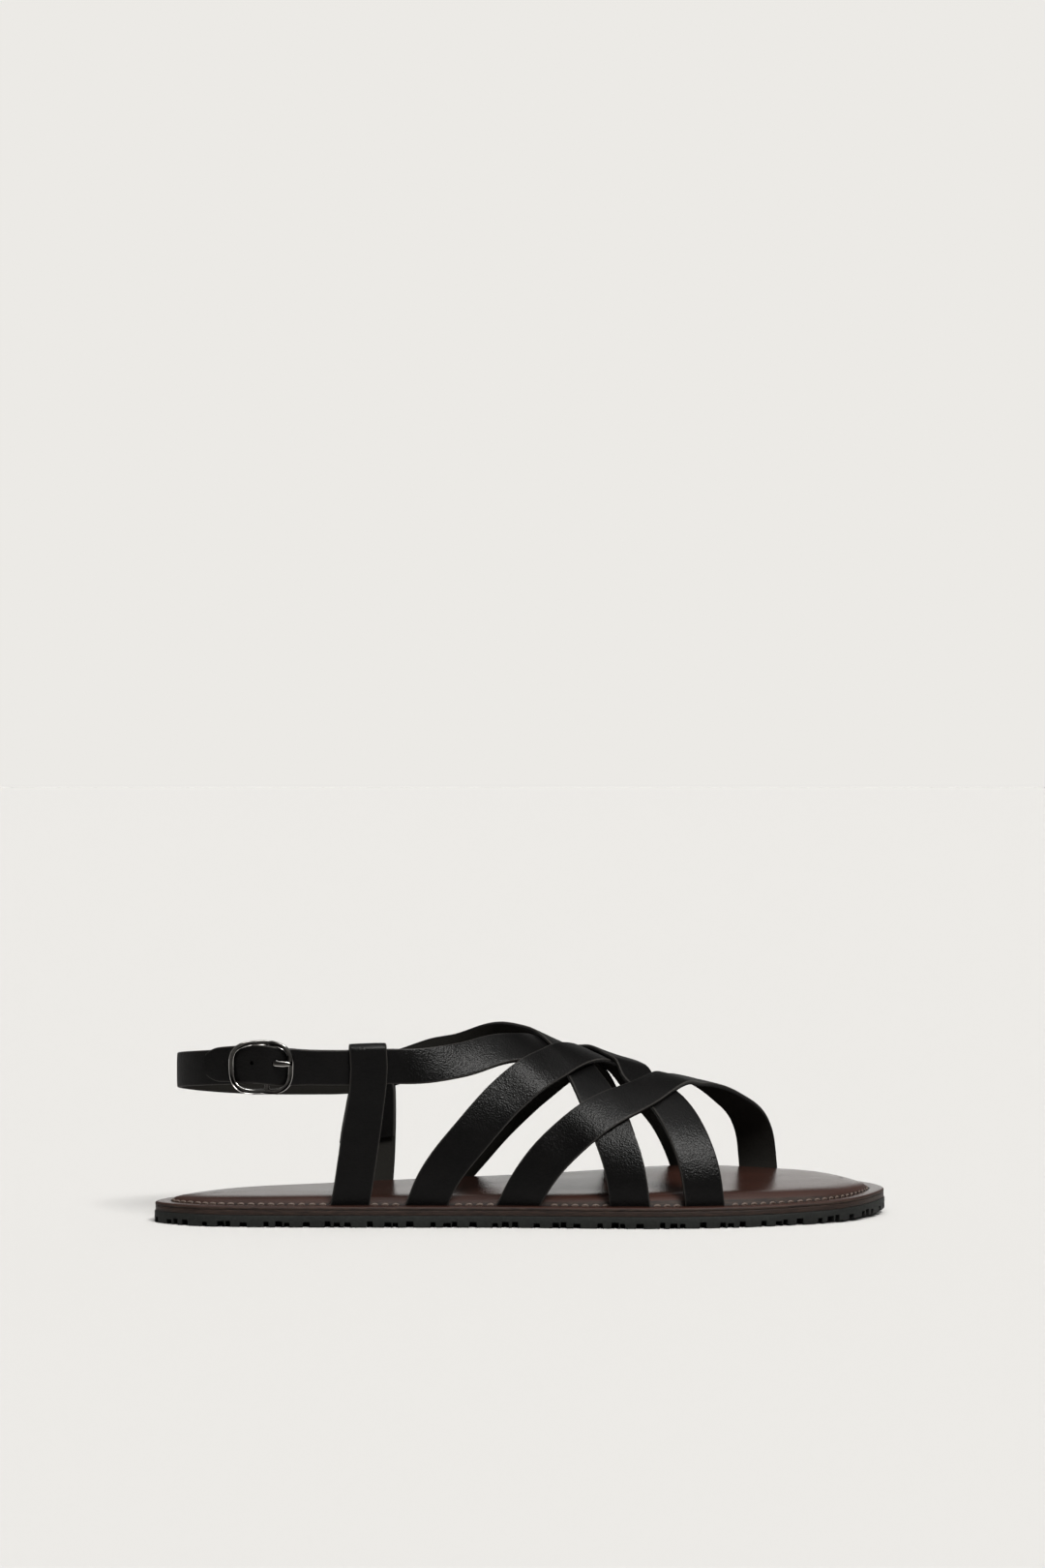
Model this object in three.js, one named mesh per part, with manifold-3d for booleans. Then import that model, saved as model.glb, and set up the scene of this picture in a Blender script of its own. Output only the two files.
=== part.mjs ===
// A flat leather sandal for the right foot, its straps criss-crossed over the instep and buckled round
// the ankle. Millimetres: +X to the toe, +Y to the inner side of the foot, +Z up. It stands on Z = 0,
// with the middle of the sole's box over the origin.
import * as THREE from "three";
import { mergeVertices } from "three/addons/utils/BufferGeometryUtils.js";
import Module from "manifold-3d";

const wasm = await Module();
wasm.setup();

// ---- Driving dimensions -------------------------------------------------------------------------

const SOLE_LENGTH = 289;
const OUTSOLE_THICK = 4.6;
const MIDSOLE_THICK = 1.5;
const RIM_THICK = 1.3; // the footbed at its edge
const JOIN_GAP = 0.3; // left between two pieces that meet
const TOE_SPRING = 2; // rise of the toe end off the ground
const SPRING_START = 0.78; // share of the length where that rise begins

const LUG_COUNT = 114; // notches round the edge of the tread
const LUG_NOTCH = 2.7; // mean width of a notch
const LUG_HEIGHT = 1.9;
const LUG_DEPTH = 6; // how far a notch reaches in from the edge

const RIM_WIDTH = 6.6; // from the edge of the footbed to its stitch groove
const RIM_RISE = 0.7; // from the edge of the footbed to its groove
const GROOVE_DEPTH = 0.6;
const PAD_START = 10.5; // distances in from the edge at which the padding climbs
const PAD_SHOULDER = 16;
const MIDSOLE_INSET = 0.3;
const FOOTBED_INSET = 0.4;

const STRAP_THICK = 1.8;
const STRAP_WIDTH = 15.5;
const ANKLE_WIDTH = 13.6;
const STRAP_BEVEL = 0.4; // dressed outer edges
const STRAP_STEP = 6; // between two sections of a strap
const LAP_SINK = 0.25; // how far a strap is pressed into the one it is joined to
const OUTER_INSET = 5.4; // inner face of a strap's foot, in from the outer edge of the sole
const INNER_INSET = 8.4; // the same on the inner side

const TAB_WIDTH = 14.7;
const TAB_FOLD_WIDTH = 14.2; // the tab where it is folded over the ankle strap
const TAB_CLEAR = 0.55; // from the ankle strap to the fold round it

const BUCKLE_LENGTH = 23.9;
const BUCKLE_HEIGHT = 20.9;
const BUCKLE_WIRE = 2.1;
const BAR_RADIUS = 1;
const SLEEVE_WALL = 1.3; // skived leather folded round the bar
const PRONG_WIDTH = 2.2;
const PRONG_THICK = 1.5;
const EYE_RADIUS = 2.05; // outside of the prong's curl round the bar
const EYE_LENGTH = 2.4;
const HOLE_RISE = 1.4; // prong and strap holes above the middle of the ankle strap

// ---- Sections of the sole and of the last -------------------------------------------------------

// Plan of the sole: half widths from the long axis at a share of the length from the heel.
const OUTLINE = [
  { at: 0.052, outer: 32.5, inner: 10 },
  { at: 0.122, outer: 38, inner: 25 },
  { at: 0.216, outer: 41, inner: 32 },
  { at: 0.341, outer: 43.8, inner: 36.6 },
  { at: 0.46, outer: 46.2, inner: 37.2 },
  { at: 0.579, outer: 51.2, inner: 43 },
  { at: 0.684, outer: 54, inner: 50.5 },
  { at: 0.773, outer: 51.6, inner: 53.8 },
  { at: 0.858, outer: 44.8, inner: 51 },
  { at: 0.927, outer: 36, inner: 44.5 },
  { at: 0.972, outer: 21.5, inner: 31 },
];
const HEEL_TIP = -17; // Y of the rearmost point
const TOE_TIP = -1; // Y of the foremost point

// Height of the padded crown above the rim of the footbed; the inner column holds the arch.
const CROWN = [
  { at: 0, outer: 1.9, inner: 1.5 },
  { at: 0.18, outer: 2.5, inner: 2 },
  { at: 0.33, outer: 2.9, inner: 3.3 },
  { at: 0.44, outer: 3, inner: 4.7 },
  { at: 0.57, outer: 3.5, inner: 5.7 },
  { at: 0.715, outer: 4.3, inner: 7 },
  { at: 0.785, outer: 4.2, inner: 6.8 },
  { at: 0.87, outer: 3.6, inner: 5.3 },
  { at: 0.95, outer: 2.6, inner: 3.3 },
  { at: 1, outer: 1.2, inner: 1.4 },
];

// The foot that the straps are shaped on: the line along the top of the instep, and how square a
// section is (2 is an ellipse). Its sides come down on the lines of the strap slots.
const LAST = [
  { at: 0.216, ridgeY: -1, ridgeZ: 159.5, full: 2.8 },
  { at: 0.326, ridgeY: 0, ridgeZ: 104.5, full: 2.7 },
  { at: 0.405, ridgeY: 2, ridgeZ: 82.6, full: 2.5 },
  { at: 0.475, ridgeY: 3, ridgeZ: 75.2, full: 2.4 },
  { at: 0.564, ridgeY: 5, ridgeZ: 62.9, full: 2.3 },
  { at: 0.654, ridgeY: 7, ridgeZ: 54.8, full: 2.3 },
  { at: 0.723, ridgeY: 9, ridgeZ: 52.1, full: 2.3 },
  { at: 0.793, ridgeY: 11, ridgeZ: 46.3, full: 2.3 },
  { at: 0.872, ridgeY: 12, ridgeZ: 36, full: 2.3 },
];

// The ankle strap stands upright along this line, from the outer tab round the heel to the inner tab.
const ANKLE = [
  { x: -47.5, y: -32.9, z: 61.7 },
  { x: -55.5, y: -34.5, z: 61.5 },
  { x: -69.5, y: -35.2, z: 61.1 },
  { x: -89.5, y: -35.4, z: 61.4 },
  { x: -105.5, y: -33.4, z: 61.7 },
  { x: -122.5, y: -24, z: 60.5 },
  { x: -134.6, y: -2.5, z: 58 },
  { x: -122.5, y: 19, z: 54.4 },
  { x: -103.5, y: 28.5, z: 52.5 },
  { x: -81.5, y: 30.4, z: 52.1 },
  { x: -57.5, y: 30, z: 52.3 },
];

// ---- Routes of the straps -----------------------------------------------------------------------

// A row is a place on the last: a share of the length, and a turn over the foot that runs from 0 at
// the outer slots through 0.5 on the ridge to 1 at the inner slots.
const OUTER_ARM = [
  { at: 0.351, turn: 0.17 },
  { at: 0.405, turn: 0.24 },
  { at: 0.45, turn: 0.297 },
  { at: 0.492, turn: 0.352 },
  { at: 0.524, turn: 0.425 },
  { at: 0.556, turn: 0.51 },
  { at: 0.581, turn: 0.6 },
  { at: 0.604, turn: 0.7 },
  { at: 0.624, turn: 0.8 },
  { at: 0.644, turn: 0.9 },
  { at: 0.658, turn: 1 },
];
const INNER_ARM = [
  { at: 0.341, turn: 0.855 },
  { at: 0.385, turn: 0.788 },
  { at: 0.425, turn: 0.735 },
  { at: 0.465, turn: 0.668 },
  { at: 0.505, turn: 0.585 },
  { at: 0.539, turn: 0.49 },
  { at: 0.574, turn: 0.37 },
  { at: 0.604, turn: 0.215 },
  { at: 0.625, turn: 0.1 },
  { at: 0.635, turn: 0 },
];
const INSTEP_STRAP = [
  { at: 0.363, turn: 0 },
  { at: 0.424, turn: 0.1 },
  { at: 0.476, turn: 0.2 },
  { at: 0.522, turn: 0.3 },
  { at: 0.562, turn: 0.4 },
  { at: 0.602, turn: 0.5 },
  { at: 0.639, turn: 0.6 },
  { at: 0.677, turn: 0.7 },
  { at: 0.712, turn: 0.8 },
  { at: 0.737, turn: 0.9 },
  { at: 0.755, turn: 1 },
];
const BALL_STRAP = [
  { at: 0.734, turn: 0 },
  { at: 0.726, turn: 0.1 },
  { at: 0.711, turn: 0.2 },
  { at: 0.693, turn: 0.29 },
  { at: 0.669, turn: 0.38 },
  { at: 0.634, turn: 0.5 },
  { at: 0.594, turn: 0.61 },
  { at: 0.542, turn: 0.74 },
  { at: 0.495, turn: 0.85 },
  { at: 0.442, turn: 0.94 },
  { at: 0.395, turn: 1 },
];
const TOE_STRAP = [
  { at: 0.485, turn: 0 },
  { at: 0.534, turn: 0.1 },
  { at: 0.589, turn: 0.2 },
  { at: 0.649, turn: 0.3 },
  { at: 0.693, turn: 0.4 },
  { at: 0.734, turn: 0.5 },
  { at: 0.778, turn: 0.6 },
  { at: 0.815, turn: 0.7 },
  { at: 0.835, turn: 0.8 },
  { at: 0.842, turn: 0.9 },
  { at: 0.845, turn: 1 },
];

// Side tabs: X of the foot and of the fold over the ankle strap, and the side of the sole.
const OUTER_TAB = { footX: -69.2, foldX: -62, side: -1 };
const INNER_TAB = { footX: -58.7, foldX: -58.5, side: 1 };

// Buckle: middle of the ring and its bar along the ankle strap, and the end of the strap's tail.
const RING_X = -102.1;
const BAR_X = -100.4;
const TAIL_END_X = -124.8;

// Levels above the inner face of the ankle strap.
const BAR_LEVEL = 0.9;
const RING_FRONT_LEVEL = 4;
const RING_REAR_LEVEL = 4.75;

// Middle of the prong ahead of the bar, from its curl, up through the tail, to its tip.
const PRONG = [
  { along: 0.6, level: 2.2 },
  { along: 1.7, level: 2.7 },
  { along: 2.8, level: 4.1 },
  { along: 4.2, level: 5.3 },
  { along: 6.4, level: 6 },
  { along: 8.8, level: 6.2 },
];

// ---- Shared tools -------------------------------------------------------------------------------

const xOf = (at) => (at - 0.5) * SOLE_LENGTH;
const atOf = (x) => x / SOLE_LENGTH + 0.5;

// One column of a table as a smooth curve through its rows.
function read(table, key, column, where) {
  const last = table.length - 1;
  const place = THREE.MathUtils.clamp(where, table[0][key], table[last][key]);
  let i = 0;
  while (i < last - 1 && table[i + 1][key] < place) i += 1;
  const slope = (j) => {
    const before = table[Math.max(j - 1, 0)];
    const after = table[Math.min(j + 1, last)];
    return (after[column] - before[column]) / (after[key] - before[key]);
  };
  const span = table[i + 1][key] - table[i][key];
  const t = (place - table[i][key]) / span;
  return (
    (2 * t ** 3 - 3 * t ** 2 + 1) * table[i][column] +
    (t ** 3 - 2 * t ** 2 + t) * span * slope(i) +
    (3 * t ** 2 - 2 * t ** 3) * table[i + 1][column] +
    (t ** 3 - t ** 2) * span * slope(i + 1)
  );
}

// A closed three.js geometry as a solid for joining and cutting.
function solidOf(geometry) {
  const bare = geometry.clone();
  bare.deleteAttribute("normal");
  bare.deleteAttribute("uv");
  const merged = mergeVertices(bare, 1e-4);
  return new wasm.Manifold(
    new wasm.Mesh({
      numProp: 3,
      vertProperties: merged.attributes.position.array,
      triVerts: new Uint32Array(merged.index.array),
    }),
  );
}

// Skin over a row of rings with equal counts of points. The first and last ring get flat ends, or
// fold shut on themselves, or are joined to each other round a loop.
function loft(rings, ends = "flat") {
  const count = rings[0].length;
  const points = rings.flat();
  const faces = [];
  const spans = ends === "loop" ? rings.length : rings.length - 1;
  for (let r = 0; r < spans; r += 1) {
    const near = r * count;
    const far = ((r + 1) % rings.length) * count;
    for (let i = 0; i < count; i += 1) {
      const j = (i + 1) % count;
      faces.push(near + i, near + j, far + j, near + i, far + j, far + i);
    }
  }
  if (ends === "flat") {
    const top = (rings.length - 1) * count;
    for (let i = 1; i < count - 1; i += 1) {
      faces.push(0, i + 1, i);
      faces.push(top, top + i, top + i + 1);
    }
  }
  const geometry = new THREE.BufferGeometry().setFromPoints(points);
  geometry.setIndex(faces);
  return solidOf(geometry);
}

// The largest body of a solid, without the closed pockets that lapped straps leave between them.
function outerSkin(solid) {
  return solid.decompose().reduce((a, b) => (b.volume() > a.volume() ? b : a));
}

function box(width, depth, height, matrix) {
  return solidOf(new THREE.BoxGeometry(width, depth, height).applyMatrix4(matrix));
}

function meshOf(name, solid, material) {
  const made = solid.getMesh();
  const geometry = new THREE.BufferGeometry();
  geometry.setAttribute("position", new THREE.BufferAttribute(made.vertProperties, 3));
  geometry.setIndex(new THREE.BufferAttribute(made.triVerts, 1));
  geometry.computeVertexNormals();
  const mesh = new THREE.Mesh(geometry, material);
  mesh.name = name;
  return mesh;
}

// ---- Sole ---------------------------------------------------------------------------------------

const EDGE_POINTS = 96;

const outlineCurve = new THREE.CatmullRomCurve3(
  [
    new THREE.Vector3(-SOLE_LENGTH / 2, HEEL_TIP, 0),
    ...OUTLINE.map((row) => new THREE.Vector3(xOf(row.at), -row.outer, 0)),
    new THREE.Vector3(SOLE_LENGTH / 2, TOE_TIP, 0),
    ...OUTLINE.map((row) => new THREE.Vector3(xOf(row.at), row.inner, 0)).reverse(),
  ],
  true,
  "centripetal",
);
outlineCurve.arcLengthDivisions = 800;

// The heel tip is point 0 and the toe tip is half way round.
const edge = [];
for (let i = 0; i < EDGE_POINTS; i += 1) {
  const point = outlineCurve.getPointAt(i / EDGE_POINTS);
  const run = outlineCurve.getTangentAt(i / EDGE_POINTS);
  edge.push({ point, inward: new THREE.Vector3(-run.y, run.x, 0) });
}

// Middle line of the sole, passed once on the way to the toe and once on the way back.
const SPINE_START = 0.055;
function spinePoint(i) {
  const share = Math.min(i, EDGE_POINTS - i) / EDGE_POINTS;
  const u = SPINE_START + share * (1 - 4 * SPINE_START);
  return outlineCurve.getPointAt(u).add(outlineCurve.getPointAt(1 - u)).multiplyScalar(0.5);
}

function spring(x) {
  const share = Math.max(0, (atOf(x) - SPRING_START) / (1 - SPRING_START));
  return TOE_SPRING * share ** 2;
}

// One closed line round the sole, in from its edge by some depth and at some height, with the toe
// spring added. A depth of "spine" gives the folded middle line, and "half" is half way to it.
function soleRing(depth, heightAt) {
  return edge.map(({ point, inward }, i) => {
    const placed = point.clone();
    if (depth === "spine") placed.copy(spinePoint(i));
    else if (depth === "half") placed.addScaledVector(inward, PAD_SHOULDER).lerp(spinePoint(i), 0.5);
    else placed.addScaledVector(inward, depth);
    placed.z = heightAt(placed) + spring(placed.x);
    return placed;
  });
}

function flatLayer(bottom, top, inset) {
  return loft(
    [
      soleRing("spine", () => bottom),
      soleRing(inset, () => bottom),
      soleRing(inset, () => top),
      soleRing("spine", () => top),
    ],
    "folded",
  );
}

const MIDSOLE_BOTTOM = OUTSOLE_THICK + JOIN_GAP;
const FOOTBED_BOTTOM = MIDSOLE_BOTTOM + MIDSOLE_THICK + JOIN_GAP;
const RIM_TOP = FOOTBED_BOTTOM + RIM_THICK;

function outsole() {
  let solid = flatLayer(0, OUTSOLE_THICK, 0);
  for (let i = 0; i < LUG_COUNT; i += 1) {
    const drift = 0.35 * Math.sin(1.7 * i);
    const u = (i + 0.5 + drift) / LUG_COUNT;
    const point = outlineCurve.getPointAt(u);
    const run = outlineCurve.getTangentAt(u);
    const width = LUG_NOTCH + 0.5 * Math.sin(2.9 * i);
    const matrix = new THREE.Matrix4().makeRotationZ(Math.atan2(run.y, run.x));
    matrix.setPosition(point.x, point.y, spring(point.x));
    solid = solid.subtract(box(width, 2 * LUG_DEPTH, 2 * LUG_HEIGHT, matrix));
  }
  return solid;
}

function crownAt(place) {
  const at = atOf(place.x);
  const outer = read(CROWN, "at", "outer", at);
  const inner = read(CROWN, "at", "inner", at);
  const side = THREE.MathUtils.clamp(0.5 + place.y / 60, 0, 1);
  return THREE.MathUtils.lerp(outer, inner, side);
}

function footbed() {
  const raised = (share) => (place) => RIM_TOP + RIM_RISE + share * crownAt(place);
  return loft(
    [
      soleRing("spine", () => FOOTBED_BOTTOM),
      soleRing(FOOTBED_INSET, () => FOOTBED_BOTTOM),
      soleRing(FOOTBED_INSET, () => RIM_TOP - 0.4),
      soleRing(FOOTBED_INSET + 0.5, () => RIM_TOP),
      soleRing(RIM_WIDTH - 0.8, () => RIM_TOP + RIM_RISE),
      soleRing(RIM_WIDTH, () => RIM_TOP + RIM_RISE - GROOVE_DEPTH),
      soleRing(RIM_WIDTH + 0.9, raised(0.06)),
      soleRing(PAD_START, raised(0.55)),
      soleRing(PAD_SHOULDER, raised(0.88)),
      soleRing("half", raised(1)),
      soleRing("spine", raised(0.96)),
    ],
    "folded",
  );
}

// ---- Last ---------------------------------------------------------------------------------------

const FOOT_END = FOOTBED_BOTTOM; // the strap feet end on the midsole, with the gap that joins keep

function lastPoint(at, turn) {
  const x = xOf(at);
  const outerY = -read(OUTLINE, "at", "outer", at) + OUTER_INSET;
  const innerY = read(OUTLINE, "at", "inner", at) - INNER_INSET;
  const ridgeY = read(LAST, "at", "ridgeY", at);
  const ridgeZ = read(LAST, "at", "ridgeZ", at);
  const power = 2 / read(LAST, "at", "full", at);
  const angle = Math.PI * turn;
  const baseY = turn < 0.5 ? outerY : innerY;
  const y = ridgeY + (baseY - ridgeY) * Math.abs(Math.cos(angle)) ** power;
  const z = FOOT_END + (ridgeZ - FOOT_END) * Math.max(0, Math.sin(angle)) ** power;
  return new THREE.Vector3(x, y, z);
}

function lastNormal(at, turn) {
  const t = THREE.MathUtils.clamp(turn, 0.004, 0.996);
  const along = lastPoint(at + 0.002, t).sub(lastPoint(at - 0.002, t));
  const over = lastPoint(at, t + 0.004).sub(lastPoint(at, t - 0.004));
  return over.cross(along).normalize().negate();
}

// ---- Straps -------------------------------------------------------------------------------------

// A strap's line is a row of places, each with the face normal that points away from the foot, the
// strap's width there, and how far its inner face is lifted off the foot.

function lineOnLast(route, startWidth = STRAP_WIDTH) {
  const curve = new THREE.CatmullRomCurve3(
    route.map(({ at, turn }) => new THREE.Vector3(at, turn, 0)),
    false,
    "catmullrom",
    0.5,
  );
  const line = [];
  const steps = route.length * 8;
  for (let i = 0; i <= steps; i += 1) {
    const place = curve.getPoint(i / steps);
    const turn = THREE.MathUtils.clamp(place.y, 0, 1);
    const widening = Math.min((2 * i) / steps, 1);
    line.push({
      point: lastPoint(place.x, turn),
      normal: lastNormal(place.x, turn),
      width: THREE.MathUtils.lerp(startWidth, STRAP_WIDTH, widening),
      lift: 0,
    });
  }
  return line;
}

const ankleCurve = new THREE.CatmullRomCurve3(
  ANKLE.map(({ x, y, z }) => new THREE.Vector3(x, y, z)),
  false,
  "centripetal",
);

// Share of the ankle line where it passes a given X, on the outer side (-1) or the inner side (1).
function ankleShare(x, side = -1) {
  let ahead = side < 0 ? 0 : 1;
  let behind = 0.5;
  for (let i = 0; i < 40; i += 1) {
    const middle = (ahead + behind) / 2;
    if (ankleCurve.getPointAt(middle).x > x) ahead = middle;
    else behind = middle;
  }
  return ahead;
}

function anklePlace(u) {
  const point = ankleCurve.getPointAt(THREE.MathUtils.clamp(u, 0, 1));
  const run = ankleCurve.getTangentAt(THREE.MathUtils.clamp(u, 0, 1));
  const normal = new THREE.Vector3(run.y, -run.x, 0).normalize().negate();
  return { point, normal, width: ANKLE_WIDTH, lift: 0 };
}

function lineRoundAnkle(from, to) {
  const steps = 60;
  const line = [];
  for (let i = 0; i <= steps; i += 1) line.push(anklePlace(from + ((to - from) * i) / steps));
  return line;
}

// Even stations along a line of places.
function stationsAlong(line, step = STRAP_STEP) {
  const distance = [0];
  for (let i = 1; i < line.length; i += 1) {
    distance.push(distance[i - 1] + line[i].point.distanceTo(line[i - 1].point));
  }
  const total = distance[distance.length - 1];
  const count = Math.round(total / step);
  const stations = [];
  let k = 0;
  for (let i = 0; i <= count; i += 1) {
    const goal = (total * i) / count;
    while (k < line.length - 2 && distance[k + 1] < goal) k += 1;
    const share = (goal - distance[k]) / (distance[k + 1] - distance[k] || 1);
    stations.push({
      run: goal,
      point: line[k].point.clone().lerp(line[k + 1].point, share),
      normal: line[k].normal.clone().lerp(line[k + 1].normal, share).normalize(),
      width: THREE.MathUtils.lerp(line[k].width, line[k + 1].width, share),
      lift: THREE.MathUtils.lerp(line[k].lift, line[k + 1].lift, share),
    });
  }
  stations.forEach((station, i) => {
    const before = stations[Math.max(i - 1, 0)].point;
    const after = stations[Math.min(i + 1, count)].point;
    station.tangent = after.clone().sub(before).normalize();
    station.side = station.normal.clone().cross(station.tangent).normalize();
    station.normal = station.tangent.clone().cross(station.side).normalize();
  });
  return stations;
}

// Where a strap passes over lower ones it rides on their outer faces, and comes down on both sides
// of the crossing in an easy curve.
function lap(stations, lowers, onlyAheadOf = -Infinity) {
  const need = stations.map(() => 0);
  stations.forEach((station, i) => {
    if (station.point.x < onlyAheadOf) return;
    for (const share of [-0.5, -0.25, 0, 0.25, 0.5]) {
      const spot = station.point.clone().addScaledVector(station.side, share * station.width);
      for (const lower of lowers) {
        for (const other of lower) {
          if (other.point.x < onlyAheadOf) continue;
          const apart = spot.clone().sub(other.point);
          const along = Math.abs(apart.dot(other.tangent));
          const across = Math.abs(apart.dot(other.side));
          const above = apart.dot(other.normal);
          if (along > STRAP_STEP / 2 + 0.1 || across > other.width / 2 + 1) continue;
          if (Math.abs(above) > 6) continue;
          need[i] = Math.max(need[i], other.lift + STRAP_THICK - LAP_SINK - above);
        }
      }
    }
  });
  const reach = 10;
  stations.forEach((station) => {
    let rise = 0;
    stations.forEach((other, j) => {
      const share = Math.abs(station.run - other.run) / reach;
      if (share < 1) rise = Math.max(rise, need[j] * Math.cos((share * Math.PI) / 2) ** 2);
    });
    station.lift = Math.max(station.lift, rise);
  });
  return stations;
}

// A strap's section, square on its inner face and bevelled on its outer one.
function strapRing(station, grow) {
  const half = station.width / 2 + grow;
  const top = STRAP_THICK + grow;
  const corners = [
    [-half, -grow],
    [half, -grow],
    [half, top - STRAP_BEVEL],
    [half - STRAP_BEVEL, top],
    [STRAP_BEVEL - half, top],
    [-half, top - STRAP_BEVEL],
  ];
  return corners.map(([across, up]) =>
    station.point
      .clone()
      .addScaledVector(station.side, across)
      .addScaledVector(station.normal, station.lift + up),
  );
}

function strapSolid(stations, grow = 0) {
  return loft(stations.map((station) => strapRing(station, grow)));
}

// A foot runs on straight down through its slot; the whole upper is then cut off level.
function withFoot(line, atEnd) {
  const tip = atEnd ? line[line.length - 1] : line[0];
  const next = atEnd ? line[line.length - 4] : line[3];
  const down = tip.point.clone().sub(next.point).normalize();
  const foot = { ...tip, point: tip.point.clone().addScaledVector(down, 8) };
  return atEnd ? [...line, foot] : [foot, ...line];
}

const tailShare = ankleShare(TAIL_END_X);
const barShare = ankleShare(BAR_X);
const ankleLength = ankleCurve.getLength();
const SLEEVE_RADIUS = BAR_RADIUS + JOIN_GAP + SLEEVE_WALL;

// The tail lies on the heel band behind the bar, climbs over the fold round the bar, and comes down
// to the foot ahead of it.
const HUMP_REACH = 9;
function tailLift(u) {
  const fromBar = (u - barShare) * ankleLength;
  const onBand = STRAP_THICK - LAP_SINK;
  const overBar = BAR_LEVEL + SLEEVE_RADIUS - LAP_SINK;
  const share = Math.min(Math.abs(fromBar) / HUMP_REACH, 1);
  const floor = fromBar > 0 ? onBand : 0;
  return floor + (overBar - floor) * Math.cos((share * Math.PI) / 2) ** 2;
}

// Where a line passes from the ankle to the last, each place near the join becomes the mean of its
// neighbours, so the strap runs on without a kink.
const EASE_SPAN = 7;
const EASE_PASSES = 14;
function joined(before, after) {
  const line = [...before, ...after];
  for (let pass = 0; pass < EASE_PASSES; pass += 1) {
    for (let i = before.length - EASE_SPAN; i < before.length + EASE_SPAN; i += 1) {
      const a = line[i - 1];
      const b = line[i + 1];
      line[i] = {
        point: a.point.clone().lerp(b.point, 0.5).lerp(line[i].point, 0.5),
        normal: a.normal.clone().lerp(b.normal, 0.5).lerp(line[i].normal, 0.5).normalize(),
        width: (a.width + b.width + 2 * line[i].width) / 4,
        lift: line[i].lift,
      };
    }
  }
  return line;
}

const TAIL_TIP_WIDTH = 8;
const TAIL_TIP_LENGTH = 4; // over which the tail's rounded end reaches its full width
function outerArmLine() {
  const steps = 45;
  const ankle = [];
  for (let i = 0; i <= steps; i += 1) {
    const u = tailShare * (1 - i / steps);
    const fromTip = Math.min(((tailShare - u) * ankleLength) / TAIL_TIP_LENGTH, 1);
    const width = THREE.MathUtils.lerp(TAIL_TIP_WIDTH, ANKLE_WIDTH, Math.sqrt(Math.max(0, fromTip)));
    ankle.push({ ...anklePlace(u), lift: tailLift(u), width });
  }
  return joined(ankle, lineOnLast(OUTER_ARM, ANKLE_WIDTH));
}

function innerArmLine() {
  return joined(lineRoundAnkle(barShare, 1), lineOnLast(INNER_ARM, ANKLE_WIDTH));
}

const TAIL_STEP = 3;
const TAIL_AHEAD = -80; // X ahead of which the outer arm needs only half as many sections
const outerArm = stationsAlong(withFoot(outerArmLine(), true), TAIL_STEP).filter(
  ({ point }, i, all) => point.x < TAIL_AHEAD || i % 2 === 0 || i === all.length - 1,
);
const innerArm = lap(stationsAlong(withFoot(innerArmLine(), true)), [outerArm], -40);
const instepStrap = lap(
  stationsAlong(withFoot(withFoot(lineOnLast(INSTEP_STRAP), true), false)),
  [outerArm, innerArm],
);
const ballStrap = lap(
  stationsAlong(withFoot(withFoot(lineOnLast(BALL_STRAP), true), false)),
  [outerArm, innerArm, instepStrap],
);
const toeStrap = lap(
  stationsAlong(withFoot(withFoot(lineOnLast(TOE_STRAP), true), false)),
  [outerArm, innerArm, instepStrap, ballStrap],
);
const straps = [outerArm, innerArm, instepStrap, ballStrap, toeStrap];

// ---- Side tabs ----------------------------------------------------------------------------------

// The frame of a strap at some run along it, between its sections.
function frameAt(strap, run) {
  let i = 0;
  while (i < strap.length - 2 && strap[i + 1].run < run) i += 1;
  const share = (run - strap[i].run) / (strap[i + 1].run - strap[i].run);
  const between = (key) => strap[i][key].clone().lerp(strap[i + 1][key], share);
  return { point: between("point"), normal: between("normal"), side: between("side") };
}

// Run at which a strap passes a given X beside the heel.
function runAt(strap, x, side) {
  const i = strap.findIndex(
    ({ point }, k) => k > 0 && point.y * side > 10 && point.x >= x && strap[k - 1].point.x < x,
  );
  const share = (x - strap[i - 1].point.x) / (strap[i].point.x - strap[i - 1].point.x);
  return THREE.MathUtils.lerp(strap[i - 1].run, strap[i].run, share);
}

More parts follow.
